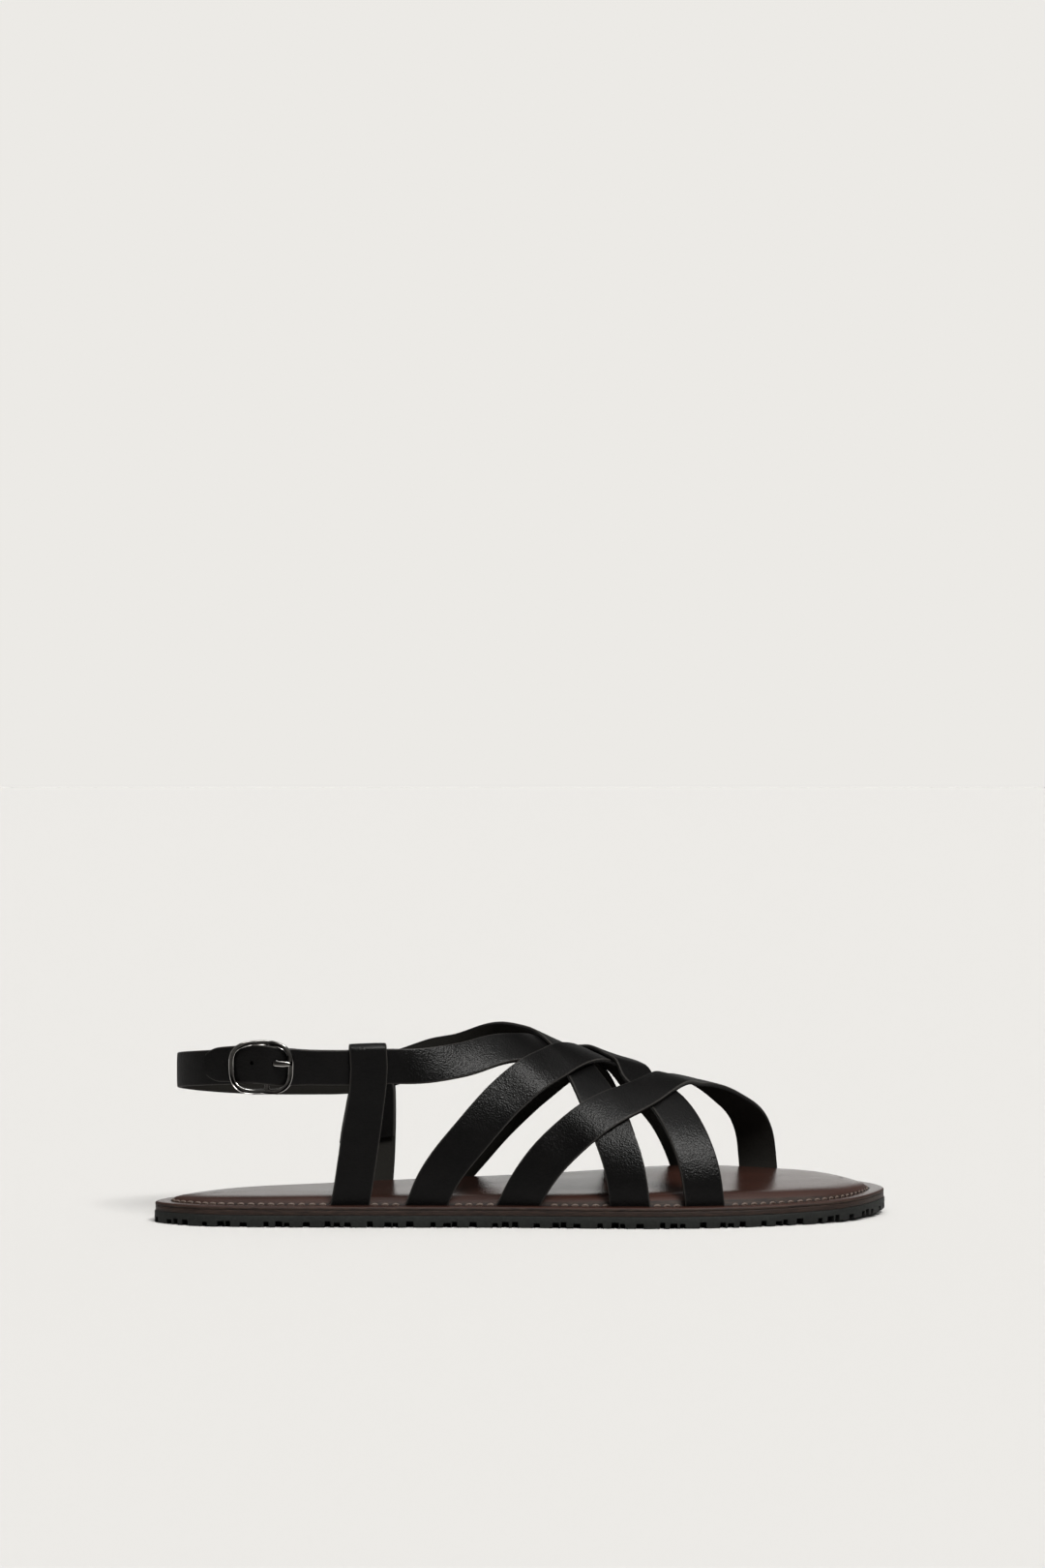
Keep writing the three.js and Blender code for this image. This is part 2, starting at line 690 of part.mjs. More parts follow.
// A tab comes up out of its slot outside the ankle strap, folds inwards over it and comes down inside,
// where its end is stitched back to it. The fold is bent along the strap: out from the foot, and up
// from the strap's middle. Below it the tab runs straight down to its slot.
const TAB_BENDS = 8;
const FOLD_POWER = 0.7; // a fold squarer than a half round
function sideTab({ footX, foldX, side }, strap, grow = 0) {
  const middleRun = runAt(strap, foldX, side);
  const upward = Math.sign(frameAt(strap, middleRun).side.z);
  const inset = side < 0 ? OUTER_INSET : INNER_INSET;
  const halfWidth = read(OUTLINE, "at", side < 0 ? "outer" : "inner", atOf(footX));
  const footY = side * (halfWidth - inset);

  const radius = STRAP_THICK / 2 + TAB_CLEAR;
  const bend = { out: STRAP_THICK / 2, up: ANKLE_WIDTH / 2 - 0.95 };
  const low = -ANKLE_WIDTH / 2;
  const path = [
    { down: 1, out: 0.6, up: low - 30 },
    { down: 0.55, out: 0.6, up: low - 6 },
    { down: 0.13, out: 0.6, up: low - 1.2 },
    { down: 0.05, out: 0.9, up: low - 1.8 },
    { down: 0, out: 1.7, up: low - 1.6 },
    { down: 0, out: bend.out + radius, up: low + 0.4 },
  ];
  for (let i = 0; i <= TAB_BENDS; i += 1) {
    const angle = (Math.PI * i) / TAB_BENDS;
    const c = Math.cos(angle);
    const round = (value) => radius * Math.abs(value) ** FOLD_POWER;
    const place = { out: bend.out + Math.sign(c) * round(c), up: bend.up + round(Math.sin(angle)) };
    path.push({ down: 0, ...place });
  }
  path.push(
    { down: 0, out: bend.out - radius, up: low - 0.4 },
    { down: 0, out: 0.1, up: low - 2 },
    { down: 0, out: 0.85, up: low - 3.8 },
    { down: 0, out: 0.85, up: low - 4.6 },
  );

  const rings = path.map((row, i) => {
    const before = path[Math.max(i - 1, 0)];
    const after = path[Math.min(i + 1, path.length - 1)];
    const length = Math.hypot(after.out - before.out, after.up - before.up);
    const off = { out: (after.up - before.up) / length, up: -(after.out - before.out) / length };
    const half = (row.up < low - 3 ? TAB_WIDTH : TAB_FOLD_WIDTH) / 2 + grow;
    const top = STRAP_THICK + grow;
    const corners = [
      [-half, -grow],
      [0, -grow],
      [half, -grow],
      [half, top - STRAP_BEVEL],
      [half - STRAP_BEVEL, top],
      [0, top],
      [STRAP_BEVEL - half, top],
      [-half, top - STRAP_BEVEL],
    ];
    return corners.map(([across, thick]) => {
      const frame = frameAt(strap, middleRun + upward * across);
      const foot = new THREE.Vector3(footX - side * across, footY + side * thick, FOOT_END - 2);
      return frame.point
        .addScaledVector(frame.normal, row.out + off.out * thick)
        .addScaledVector(frame.side, upward * (row.up + off.up * thick))
        .lerp(foot, row.down);
    });
  });
  return loft(rings.reverse());
}

// ---- Buckle -------------------------------------------------------------------------------------

// A place near the bar: ahead of it along the ankle strap, across it, and above its inner face.
function onStrap(ahead, across, level) {
  const place = anklePlace(barShare - ahead / ankleLength);
  const run = ankleCurve.getTangentAt(barShare - ahead / ankleLength).negate();
  const side = place.normal.clone().cross(run).normalize();
  return place.point.clone().addScaledVector(side, across).addScaledVector(place.normal, level);
}

function rodAtBar(radius, length, sides, across = 0) {
  const low = onStrap(0, across - 1, BAR_LEVEL);
  const high = onStrap(0, across + 1, BAR_LEVEL);
  const turn = new THREE.Quaternion().setFromUnitVectors(
    new THREE.Vector3(0, 1, 0),
    high.clone().sub(low).normalize(),
  );
  const rod = new THREE.CylinderGeometry(radius, radius, length, sides);
  const middle = low.lerp(high, 0.5);
  return solidOf(rod.applyQuaternion(turn).translate(middle.x, middle.y, middle.z));
}

// The ring follows the ankle and dips on both sides to hold the bar.
const RING_POINTS = 48;
const RING_POWER = 2 / 3;
const ringOffset = -(ankleShare(RING_X) - barShare) * ankleLength;
function ringPlace(share) {
  const angle = 2 * Math.PI * share;
  const c = Math.cos(angle);
  const d = Math.sin(angle);
  const halfLength = (BUCKLE_LENGTH - BUCKLE_WIRE) / 2;
  const halfHeight = (BUCKLE_HEIGHT - BUCKLE_WIRE) / 2;
  const ahead = ringOffset + halfLength * Math.sign(c) * Math.abs(c) ** RING_POWER;
  const across = halfHeight * Math.sign(d) * Math.abs(d) ** RING_POWER;
  const high = ahead > 0 ? RING_FRONT_LEVEL : RING_REAR_LEVEL;
  const dip = Math.cos((Math.min(Math.abs(ahead) / (ahead > 0 ? 6 : 9), 1) * Math.PI) / 2) ** 2;
  return onStrap(ahead, across, high - (high - BAR_LEVEL) * dip);
}

function buckleRing() {
  const rings = [];
  for (let i = 0; i < RING_POINTS; i += 1) {
    const middle = ringPlace(i / RING_POINTS);
    const run = ringPlace((i + 0.5) / RING_POINTS).sub(ringPlace((i - 0.5) / RING_POINTS)).normalize();
    const away = anklePlace(barShare).normal.clone();
    const level = away.addScaledVector(run, -away.dot(run)).normalize();
    const wide = level.clone().cross(run);
    const ring = [];
    for (let k = 0; k < 8; k += 1) {
      const angle = (Math.PI / 4) * (k + 0.5);
      ring.push(
        middle
          .clone()
          .addScaledVector(wide, (BUCKLE_WIRE / 2) * Math.cos(angle))
          .addScaledVector(level, (BUCKLE_WIRE / 2) * Math.sin(angle)),
      );
    }
    rings.push(ring);
  }
  return loft(rings, "loop");
}

function prongBlade(grow) {
  const stations = PRONG.map((row, i) => {
    const before = PRONG[Math.max(i - 1, 0)];
    const after = PRONG[Math.min(i + 1, PRONG.length - 1)];
    const run = Math.hypot(after.along - before.along, after.level - before.level);
    const up = { along: -(after.level - before.level) / run, level: (after.along - before.along) / run };
    const corner = (across, rise) =>
      onStrap(row.along + up.along * rise, HOLE_RISE + across, row.level + up.level * rise);
    const half = PRONG_WIDTH / 2 + grow;
    const rise = PRONG_THICK / 2 + grow;
    return [corner(-half, -rise), corner(half, -rise), corner(half, rise), corner(-half, rise)];
  });
  return loft(stations);
}

function bucklePlaced() {
  const frame = buckleRing().add(rodAtBar(BAR_RADIUS, BUCKLE_HEIGHT - BUCKLE_WIRE, 16));
  const eyeHole = rodAtBar(BAR_RADIUS + JOIN_GAP, 2 * EYE_LENGTH, 20, HOLE_RISE);
  const eye = rodAtBar(EYE_RADIUS, EYE_LENGTH, 20, HOLE_RISE);
  const prong = eye.add(prongBlade(0)).subtract(eyeHole);
  return { frame, prong };
}

// ---- Assembly -----------------------------------------------------------------------------------

const BLACK_LEATHER = new THREE.MeshStandardMaterial({ color: "#1d1c1b", roughness: 0.45 });
const BROWN_LEATHER = new THREE.MeshStandardMaterial({ color: "#4b332d", roughness: 0.4 });
const EDGE_LEATHER = new THREE.MeshStandardMaterial({ color: "#5a4036", roughness: 0.6 });
const RUBBER = new THREE.MeshStandardMaterial({ color: "#343433", roughness: 0.75 });
const STEEL = new THREE.MeshStandardMaterial({ color: "#55555a", metalness: 1, roughness: 0.2 });

const underFoot = flatLayer(-20, FOOT_END, -20); // all that lies below the level of the strap feet

let upper = straps.map((stations) => strapSolid(stations)).reduce((a, b) => a.add(b));
upper = upper.add(rodAtBar(SLEEVE_RADIUS, ANKLE_WIDTH, 24));
upper = outerSkin(upper.subtract(underFoot));
upper = upper.subtract(rodAtBar(BAR_RADIUS + JOIN_GAP, 2 * ANKLE_WIDTH, 20));
upper = upper.subtract(rodAtBar(SLEEVE_RADIUS + 0.15, EYE_LENGTH + 2 * JOIN_GAP, 24, HOLE_RISE));
upper = outerSkin(upper.subtract(prongBlade(JOIN_GAP)));

const outerTab = outerSkin(sideTab(OUTER_TAB, outerArm).subtract(underFoot));
const innerTab = outerSkin(sideTab(INNER_TAB, innerArm).subtract(underFoot));

let insole = footbed();
for (const stations of straps) {
  insole = insole.subtract(strapSolid(stations, JOIN_GAP));
}
insole = insole.subtract(sideTab(OUTER_TAB, outerArm, JOIN_GAP));
insole = insole.subtract(sideTab(INNER_TAB, innerArm, JOIN_GAP));

const buckle = bucklePlaced();

const sandal = new THREE.Group();
sandal.add(
  meshOf("outsole", outsole(), RUBBER),
  meshOf("midsole", flatLayer(MIDSOLE_BOTTOM, MIDSOLE_BOTTOM + MIDSOLE_THICK, MIDSOLE_INSET), EDGE_LEATHER),
  meshOf("footbed", insole, BROWN_LEATHER),
  meshOf("upper", upper, BLACK_LEATHER),
  meshOf("side_loop_outer", outerTab, BLACK_LEATHER),
  meshOf("side_loop_inner", innerTab, BLACK_LEATHER),
  meshOf("buckle_frame", buckle.frame, STEEL),
  meshOf("buckle_prong", buckle.prong, STEEL),
);

export default sandal;
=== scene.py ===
import math

import bmesh
import bpy
import numpy as np
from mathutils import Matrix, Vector


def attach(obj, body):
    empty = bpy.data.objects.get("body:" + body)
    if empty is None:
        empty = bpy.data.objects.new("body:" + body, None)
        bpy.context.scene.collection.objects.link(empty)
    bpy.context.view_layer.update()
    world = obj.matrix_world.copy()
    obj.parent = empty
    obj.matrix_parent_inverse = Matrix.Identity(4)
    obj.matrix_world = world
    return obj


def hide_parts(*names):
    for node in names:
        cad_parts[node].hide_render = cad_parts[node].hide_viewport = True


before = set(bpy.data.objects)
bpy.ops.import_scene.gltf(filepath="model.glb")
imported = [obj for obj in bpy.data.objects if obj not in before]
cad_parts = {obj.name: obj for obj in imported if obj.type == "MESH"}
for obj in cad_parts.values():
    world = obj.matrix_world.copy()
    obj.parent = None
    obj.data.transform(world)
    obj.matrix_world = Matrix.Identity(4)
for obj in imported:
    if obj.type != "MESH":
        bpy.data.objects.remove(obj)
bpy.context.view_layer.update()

# ---- Rubber outsole ------------------------------------------------------------------------------
# The outsole is one moulding of black rubber, as long as the shoe and a little under 5 mm thick.
# Short notches run in from its edge all round, so it looks like a row of small blocks from the
# side, and the toe end is sprung up off the ground.

MM = 0.001
SOLE_LENGTH = 289
OUTSOLE_THICK = 4.6
TOE_SPRING = 2.0
SPRING_START = 0.78

# Half widths of the sole from its long axis: share of the length, outer side, inner side.
OUTLINE = [
    (0.052, 32.5, 10.0),
    (0.122, 38.0, 25.0),
    (0.216, 41.0, 32.0),
    (0.341, 43.8, 36.6),
    (0.46, 46.2, 37.2),
    (0.579, 51.2, 43.0),
    (0.684, 54.0, 50.5),
    (0.773, 51.6, 53.8),
    (0.858, 44.8, 51.0),
    (0.927, 36.0, 44.5),
    (0.972, 21.5, 31.0),
]
HEEL_TIP_Y = -17
TOE_TIP_Y = -1


def x_of(share):
    return (share - 0.5) * SOLE_LENGTH


def share_of(x):
    return x / SOLE_LENGTH + 0.5


def hermite(t, start, start_slope, end, end_slope):
    return (
        (2 * t**3 - 3 * t**2 + 1) * start
        + (t**3 - 2 * t**2 + t) * start_slope
        + (3 * t**2 - 2 * t**3) * end
        + (t**3 - t**2) * end_slope
    )


def smooth_curve(points, per_span, closed=False, power=0.25):
    """Even curve through the points; power 0.25 keeps it tight, None gives the plain one."""
    points = [np.asarray(p, float) for p in points]
    count = len(points)
    out = []
    for i in range(count if closed else count - 1):
        p1 = points[i]
        p2 = points[(i + 1) % count]
        p0 = points[i - 1] if closed or i > 0 else 2 * p1 - p2
        p3 = points[(i + 2) % count] if closed or i + 2 < count else 2 * p2 - p1
        if power is None:
            t1 = (p2 - p0) / 2
            t2 = (p3 - p1) / 2
        else:
            d0, d1, d2 = (max(np.dot(d, d) ** power, 1e-4) for d in (p1 - p0, p2 - p1, p3 - p2))
            t1 = ((p1 - p0) / d0 - (p2 - p0) / (d0 + d1) + (p2 - p1) / d1) * d1
            t2 = ((p2 - p1) / d1 - (p3 - p1) / (d1 + d2) + (p3 - p2) / d2) * d1
        out += [hermite(t, p1, t1, p2, t2) for t in np.arange(per_span) / per_span]
    if not closed:
        out.append(points[-1])
    return np.array(out)


def lengths_along(points):
    steps = np.linalg.norm(np.diff(points, axis=0), axis=1)
    return np.concatenate([[0], np.cumsum(steps)])


def unit(vector):
    return vector / np.linalg.norm(vector)


def at_lengths(points, goals):
    run = lengths_along(points)
    return np.stack([np.interp(goals, run, points[:, k]) for k in range(points.shape[1])], axis=1)


outline = smooth_curve(
    [(-SOLE_LENGTH / 2, HEEL_TIP_Y)]
    + [(x_of(share), -outer) for share, outer, inner in OUTLINE]
    + [(SOLE_LENGTH / 2, TOE_TIP_Y)]
    + [(x_of(share), inner) for share, outer, inner in reversed(OUTLINE)],
    60,
    closed=True,
)
outline = np.vstack([outline, outline[:1]])
outline_length = lengths_along(outline)[-1]


EDGE_STEP = 0.6


def round_the_sole(count, depth):
    """Points round the sole, some way in from its edge, with the direction of the edge at each."""
    goals = np.arange(count) / count * outline_length
    here = at_lengths(outline, goals)
    ahead = at_lengths(outline, (goals + EDGE_STEP) % outline_length)
    behind = at_lengths(outline, (goals - EDGE_STEP) % outline_length)
    run = ahead - behind
    run /= np.linalg.norm(run, axis=1)[:, None]
    inward = np.stack([-run[:, 1], run[:, 0]], axis=1)
    return here + inward * depth, run


def spring(x):
    share = np.maximum(0, (share_of(x) - SPRING_START) / (1 - SPRING_START))
    return TOE_SPRING * share**2


def deselect():
    bpy.ops.object.select_all(action="DESELECT")


def choose(piece):
    deselect()
    piece.select_set(True)
    bpy.context.view_layer.objects.active = piece


def new_piece(name, data):
    piece = bpy.data.objects.new(name, data)
    bpy.context.scene.collection.objects.link(piece)
    return piece


def edit_all(piece, operator, **settings):
    """Runs one edit-mode operator over the whole mesh."""
    choose(piece)
    bpy.ops.object.mode_set(mode="EDIT")
    bpy.ops.mesh.select_all(action="SELECT")
    operator(**settings)
    bpy.ops.object.mode_set(mode="OBJECT")


def face_outward(piece):
    edit_all(piece, bpy.ops.mesh.normals_make_consistent, inside=False)


def smooth(piece, degrees):
    choose(piece)
    bpy.ops.object.shade_smooth_by_angle(angle=math.radians(degrees))


def apply_modifier(piece, kind, **settings):
    choose(piece)
    modifier = piece.modifiers.new(kind.title(), kind)
    for key, value in settings.items():
        setattr(modifier, key, value)
    bpy.ops.object.modifier_apply(modifier=modifier.name)


def sole_slab(name, thick, depth, count, round_edge):
    """A flat blank cut to the sole's outline, its top and bottom edges rounded over."""
    deselect()
    bpy.ops.mesh.primitive_circle_add(vertices=count, radius=0.1, fill_type="NGON")
    slab = bpy.context.object
    slab.name = name
    rim, _ = round_the_sole(count, depth)
    for vertex, (x, y) in zip(slab.data.vertices, rim):
        vertex.co = (x * MM, y * MM, 0)
    up = {"value": (0, 0, thick * MM)}
    edit_all(slab, bpy.ops.mesh.extrude_region_move, TRANSFORM_OT_translate=up)
    face_outward(slab)
    for edge in slab.data.edges:
        a, b = (slab.data.vertices[i].co.z for i in edge.vertices)
        edge.select = abs(a - b) < 1e-6
    bpy.ops.object.mode_set(mode="EDIT")
    bpy.ops.mesh.select_mode(type="EDGE")
    bpy.ops.mesh.bevel(offset=round_edge * MM, segments=2, affect="EDGES")
    bpy.ops.object.mode_set(mode="OBJECT")
    return slab


def bend_to_toe(piece, cuts=8):
    """Cross cuts over the forefoot, so that the blank can take the rise of the toe."""
    for k in range(cuts):
        x = x_of(SPRING_START + (1 - SPRING_START) * k / cuts) * MM
        edit_all(piece, bpy.ops.mesh.bisect, plane_co=(x, 0, 0), plane_no=(1, 0, 0))
    for vertex in piece.data.vertices:
        vertex.co.z += spring(vertex.co.x / MM) * MM


SOLE_POINTS = 420
SOLE_ROUND = 0.35
LUG_COUNT = 114
NOTCH_WIDE = 2.7
NOTCH_TALL = 2.2
NOTCH_DEEP = 6
outsole = sole_slab("rubber_outsole", OUTSOLE_THICK, 0, SOLE_POINTS, SOLE_ROUND)

# Each notch is wider at the ground, and no two are quite alike in place, width or height.
block = bmesh.new()
for i in range(LUG_COUNT):
    goal = (i + 0.5 + 0.35 * math.sin(1.7 * i)) / LUG_COUNT * outline_length
    place = at_lengths(outline, [goal])[0]
    run = unit(at_lengths(outline, [(goal + 0.5) % outline_length])[0] - place)
    wide = (NOTCH_WIDE + 0.5 * math.sin(2.9 * i)) * MM
    tall = (NOTCH_TALL + 0.3 * math.sin(4.3 * i)) * MM
    deep = 2 * NOTCH_DEEP * MM
    for vertex in bmesh.ops.create_cube(block, size=1)["verts"]:
        along, inward, up = vertex.co.x * wide, vertex.co.y * deep, vertex.co.z * 2 * tall
        along *= 0.86 if up > 0 else 1.1
        vertex.co = (
            place[0] * MM + run[0] * along - run[1] * inward,
            place[1] * MM + run[1] * along + run[0] * inward,
            up,
        )
bmesh.ops.recalc_face_normals(block, faces=block.faces)
notches = bpy.data.meshes.new("notch_cutter")
block.to_mesh(notches)
block.free()


def size_of(piece):
    mesh = bmesh.new()
    mesh.from_mesh(piece.data)
    volume = mesh.calc_volume(signed=True)
    mesh.free()
    return volume


def cut_away(piece, cutter):
    """Cuts one mesh out of another, and stops if that has emptied or broken the piece."""
    before = size_of(piece)
    apply_modifier(piece, "BOOLEAN", operation="DIFFERENCE", object=cutter, solver="MANIFOLD")
    bpy.data.objects.remove(cutter)
    after = size_of(piece)
    if not 0.7 * before < after < 1.001 * before:
        raise RuntimeError(f"{piece.name}: a cut left {after / before:.3f} of its volume")


cut_away(outsole, new_piece("notch_cutter", notches))
bend_to_toe(outsole)
smooth(outsole, 32)
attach(outsole, "root")
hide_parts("outsole")


def linear(code):
    """A #rrggbb colour as the linear colour that the shader wants."""
    parts = [int(code[i : i + 2], 16) / 255 for i in (1, 3, 5)]
    return [v / 12.92 if v <= 0.04045 else ((v + 0.055) / 1.055) ** 2.4 for v in parts] + [1]


def fill(tree, node, inputs):
    """Gives a node's inputs their values, and links those that are another node's output."""
    for key, value in inputs.items():
        if isinstance(value, bpy.types.NodeSocket):
            tree.links.new(value, node.inputs[key])
        else:
            node.inputs[key].default_value = value


def add(tree, kind, inputs=None, **settings):
    """Adds a node with its settings, its input values and its links."""
    made = tree.nodes.new(kind)
    for key, value in settings.items():
        setattr(made, key, value)
    fill(tree, made, inputs or {})
    return made


def new_material(name):
    material = bpy.data.materials.new(name)
    material.use_nodes = True
    tree = material.node_tree
    return material, tree, tree.nodes["Principled BSDF"]


def two_tones(tree, factor, low, high, start=0.3, end=0.7):
    ramp = add(tree, "ShaderNodeValToRGB", {"Fac": factor})
    for stop, place, code in zip(ramp.color_ramp.elements, (start, end), (low, high)):
        stop.position = place
        stop.color = linear(code)
    return ramp.outputs["Color"]


def noise(tree, place, scale, detail, rough=0.5, distortion=0.0):
    inputs = {"Vector": place, "Scale": scale, "Detail": detail, "Roughness": rough}
    inputs["Distortion"] = distortion
    return add(tree, "ShaderNodeTexNoise", inputs).outputs["Fac"]


def mix(tree, factor, under, over):
    inputs = {"Factor": factor, "A": under, "B": over}
    return add(tree, "ShaderNodeMix", inputs, data_type="RGBA").outputs["Result"]


def calc(tree, operation, a, b):
    return add(tree, "ShaderNodeMath", {0: a, 1: b}, operation=operation).outputs["Value"]


def bumps(tree, *layers):
    """Bump laid over bump: the height, strength and depth in metres of each layer."""
    normal = {}
    for height, strength, depth in layers:
        inputs = {"Height": height, "Strength": strength, "Distance": depth} | normal
        normal = {"Normal": add(tree, "ShaderNodeBump", inputs).outputs["Normal"]}
    return normal["Normal"]


def mark_of(tree, name):
    """A number that a mesh carries on its points."""
    return add(tree, "ShaderNodeAttribute", attribute_name=name).outputs["Fac"]


def facing_up(tree):
    """How far a face looks up: 1 straight up, 0 sideways, -1 straight down."""
    normal = add(tree, "ShaderNodeNewGeometry").outputs["Normal"]
    return add(tree, "ShaderNodeSeparateXYZ", {"Vector": normal}).outputs["Z"]


def cover(piece, material):
    piece.data.materials.clear()
    piece.data.materials.append(material)


# Moulded rubber: a matt grey-black with a fine sandy skin from the mould. The underside carries a
# shallow ripple tread of about 10 mm pitch.
rubber, tree, shader = new_material("moulded_black_rubber")
place = add(tree, "ShaderNodeTexCoord").outputs["Object"]
speckle = noise(tree, place, 900, 3, 0.6)
tones = two_tones(tree, noise(tree, place, 60, 4), "#0f100f", "#181a18")
sand = two_tones(tree, speckle, "#0d0e0d", "#222422", 0.42, 0.72)
ripple = add(
    tree,
    "ShaderNodeTexWave",
    {"Vector": place, "Scale": 32, "Distortion": 3, "Detail": 0, "Detail Scale": 14},
    bands_direction="X",
)
underside = calc(tree, "LESS_THAN", facing_up(tree), -0.8)
tread = calc(tree, "MULTIPLY", ripple.outputs["Fac"], underside)
rubber_look = {
    "Base Color": mix(tree, 0.4, tones, sand),
    "Roughness": 0.68,
    "IOR": 1.52,
    "Specular IOR Level": 0.22,
    "Normal": bumps(tree, (tread, 0.9, 0.0012), (speckle, 0.45, 0.0003)),
}
fill(tree, shader, rubber_look)
cover(outsole, rubber)

# ---- Leather runner ------------------------------------------------------------------------------
# Between the rubber and the insole runs a thin leather board, glued to both and cut flush with
# them. Only its edge shows, as a dark brown line with the grain of cut leather.

JOIN_GAP = 0.3
RUNNER_THICK = 1.5
runner_level = OUTSOLE_THICK + JOIN_GAP

# It fills the gaps above and below it, but for a hair.
HAIR = 0.03
RUNNER_INSET = 0.35
RUNNER_ROUND = 0.2
filled = RUNNER_THICK + 2 * (JOIN_GAP - HAIR)
runner = sole_slab("leather_runner", filled, RUNNER_INSET, SOLE_POINTS, RUNNER_ROUND)
for vertex in runner.data.vertices:
    vertex.co.z += (runner_level - JOIN_GAP + HAIR) * MM
bend_to_toe(runner)
smooth(runner, 40)
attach(runner, "root")
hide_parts("midsole")

# Cut and burnished vegetable-tanned leather: fibres lie in flat layers along the edge, a little
# waxy.
cut_edge, tree, shader = new_material("burnished_leather_edge")
place = add(tree, "ShaderNodeTexCoord").outputs["Object"]
flat = add(tree, "ShaderNodeMapping", {"Vector": place, "Scale": (1, 1, 9)})
fibres = noise(tree, flat.outputs["Vector"], 240, 6, 0.65)
edge_look = {
    "Base Color": two_tones(tree, fibres, "#150c09", "#2f211a", 0.35, 0.7),
    "Roughness": 0.55,
    "Specular IOR Level": 0.25,
    "Normal": bumps(tree, (fibres, 0.5, 0.0003)),
}
fill(tree, shader, edge_look)
cover(runner, cut_edge)

# ---- Strap routes --------------------------------------------------------------------------------
# The straps are shaped on a last. A place on it is a share of its length and a turn over the foot,
# from 0 at the slots of the outer side, through 0.5 on the ridge, to 1 at the slots of the inner
# side.

INSOLE_BOTTOM = runner_level + RUNNER_THICK + JOIN_GAP
OUTER_INSET = 5.4
INNER_INSET = 8.4
STRAP_THICK = 1.8
STRAP_WIDTH = 15.5
ANKLE_WIDTH = 13.6

# Share of the length, ridge across, ridge height, and how square the section is.
LAST = [
    (0.216, -1.0, 159.5, 2.8),
    (0.326, 0.0, 104.5, 2.7),
    (0.405, 2.0, 82.6, 2.5),
    (0.475, 3.0, 75.2, 2.4),
    (0.564, 5.0, 62.9, 2.3),
    (0.654, 7.0, 54.8, 2.3),
    (0.723, 9.0, 52.1, 2.3),
    (0.793, 11.0, 46.3, 2.3),
    (0.872, 12.0, 36.0, 2.3),
]

# The upright ankle strap, from the outer instep round the heel to the inner instep.
ANKLE = [
    (-47.5, -32.9, 61.7),
    (-55.5, -34.5, 61.5),
    (-69.5, -35.2, 61.1),
    (-89.5, -35.4, 61.4),
    (-105.5, -33.4, 61.7),
    (-122.5, -24.0, 60.5),
    (-134.6, -2.5, 58.0),
    (-122.5, 19.0, 54.4),
    (-103.5, 28.5, 52.5),
    (-81.5, 30.4, 52.1),
    (-57.5, 30.0, 52.3),
]

ROUTES = {
    "outer_arm": [
        (0.351, 0.17), (0.405, 0.24), (0.45, 0.297), (0.492, 0.352), (0.524, 0.425), (0.556, 0.51),
        (0.581, 0.6), (0.604, 0.7), (0.624, 0.8), (0.644, 0.9), (0.658, 1.0),
    ],
    "inner_arm": [
        (0.341, 0.855), (0.385, 0.788), (0.425, 0.735), (0.465, 0.668), (0.505, 0.585),
        (0.539, 0.49), (0.574, 0.37), (0.604, 0.215), (0.625, 0.1), (0.635, 0.0),
    ],
    "instep_strap": [
        (0.363, 0.0), (0.424, 0.1), (0.476, 0.2), (0.522, 0.3), (0.562, 0.4), (0.602, 0.5),
        (0.639, 0.6), (0.677, 0.7), (0.712, 0.8), (0.737, 0.9), (0.755, 1.0),
    ],
    "ball_strap": [
        (0.734, 0.0), (0.726, 0.1), (0.711, 0.2), (0.693, 0.29), (0.669, 0.38), (0.634, 0.5),
        (0.594, 0.61), (0.542, 0.74), (0.495, 0.85), (0.442, 0.94), (0.395, 1.0),
    ],
    "toe_strap": [
        (0.485, 0.0), (0.534, 0.1), (0.589, 0.2), (0.649, 0.3), (0.693, 0.4), (0.734, 0.5),
        (0.778, 0.6), (0.815, 0.7), (0.835, 0.8), (0.842, 0.9), (0.845, 1.0),
    ],
}


def read_row(rows, column, where):
    """One column of a table as a smooth curve through its rows."""
    last = len(rows) - 1
    spot = min(max(where, rows[0][0]), rows[last][0])
    i = 0
    while i < last - 1 and rows[i + 1][0] < spot:
        i += 1

    def slope(j):
        before, after = rows[max(j - 1, 0)], rows[min(j + 1, last)]
        return (after[column] - before[column]) / (after[0] - before[0])

    span = rows[i + 1][0] - rows[i][0]
    t = (spot - rows[i][0]) / span
    return hermite(t, rows[i][column], span * slope(i), rows[i + 1][column], span * slope(i + 1))


def last_point(share, turn):
    outer_y = -read_row(OUTLINE, 1, share) + OUTER_INSET
    inner_y = read_row(OUTLINE, 2, share) - INNER_INSET
    ridge_y = read_row(LAST, 1, share)
    ridge_z = read_row(LAST, 2, share)
    power = 2 / read_row(LAST, 3, share)
    angle = math.pi * turn
    base_y = outer_y if turn < 0.5 else inner_y
    y = ridge_y + (base_y - ridge_y) * abs(math.cos(angle)) ** power
    z = INSOLE_BOTTOM + (ridge_z - INSOLE_BOTTOM) * max(0, math.sin(angle)) ** power
    return np.array([x_of(share), y, z])


def last_normal(share, turn):
    t = min(max(turn, 0.004), 0.996)
    along = last_point(share + 0.002, t) - last_point(share - 0.002, t)
    over = last_point(share, t + 0.004) - last_point(share, t - 0.004)
    return unit(-np.cross(over, along))


CURL_HEIGHT = 11
CURL_IN = 1.8


def curl(point):
    """Over its last centimetre a foot curves in under itself to its slot."""
    share = min(max(1 - (point[2] - INSOLE_BOTTOM - 1.3) / CURL_HEIGHT, 0), 1)
    return point - np.array([0, math.copysign(CURL_IN * share**2, point[1]), 0])


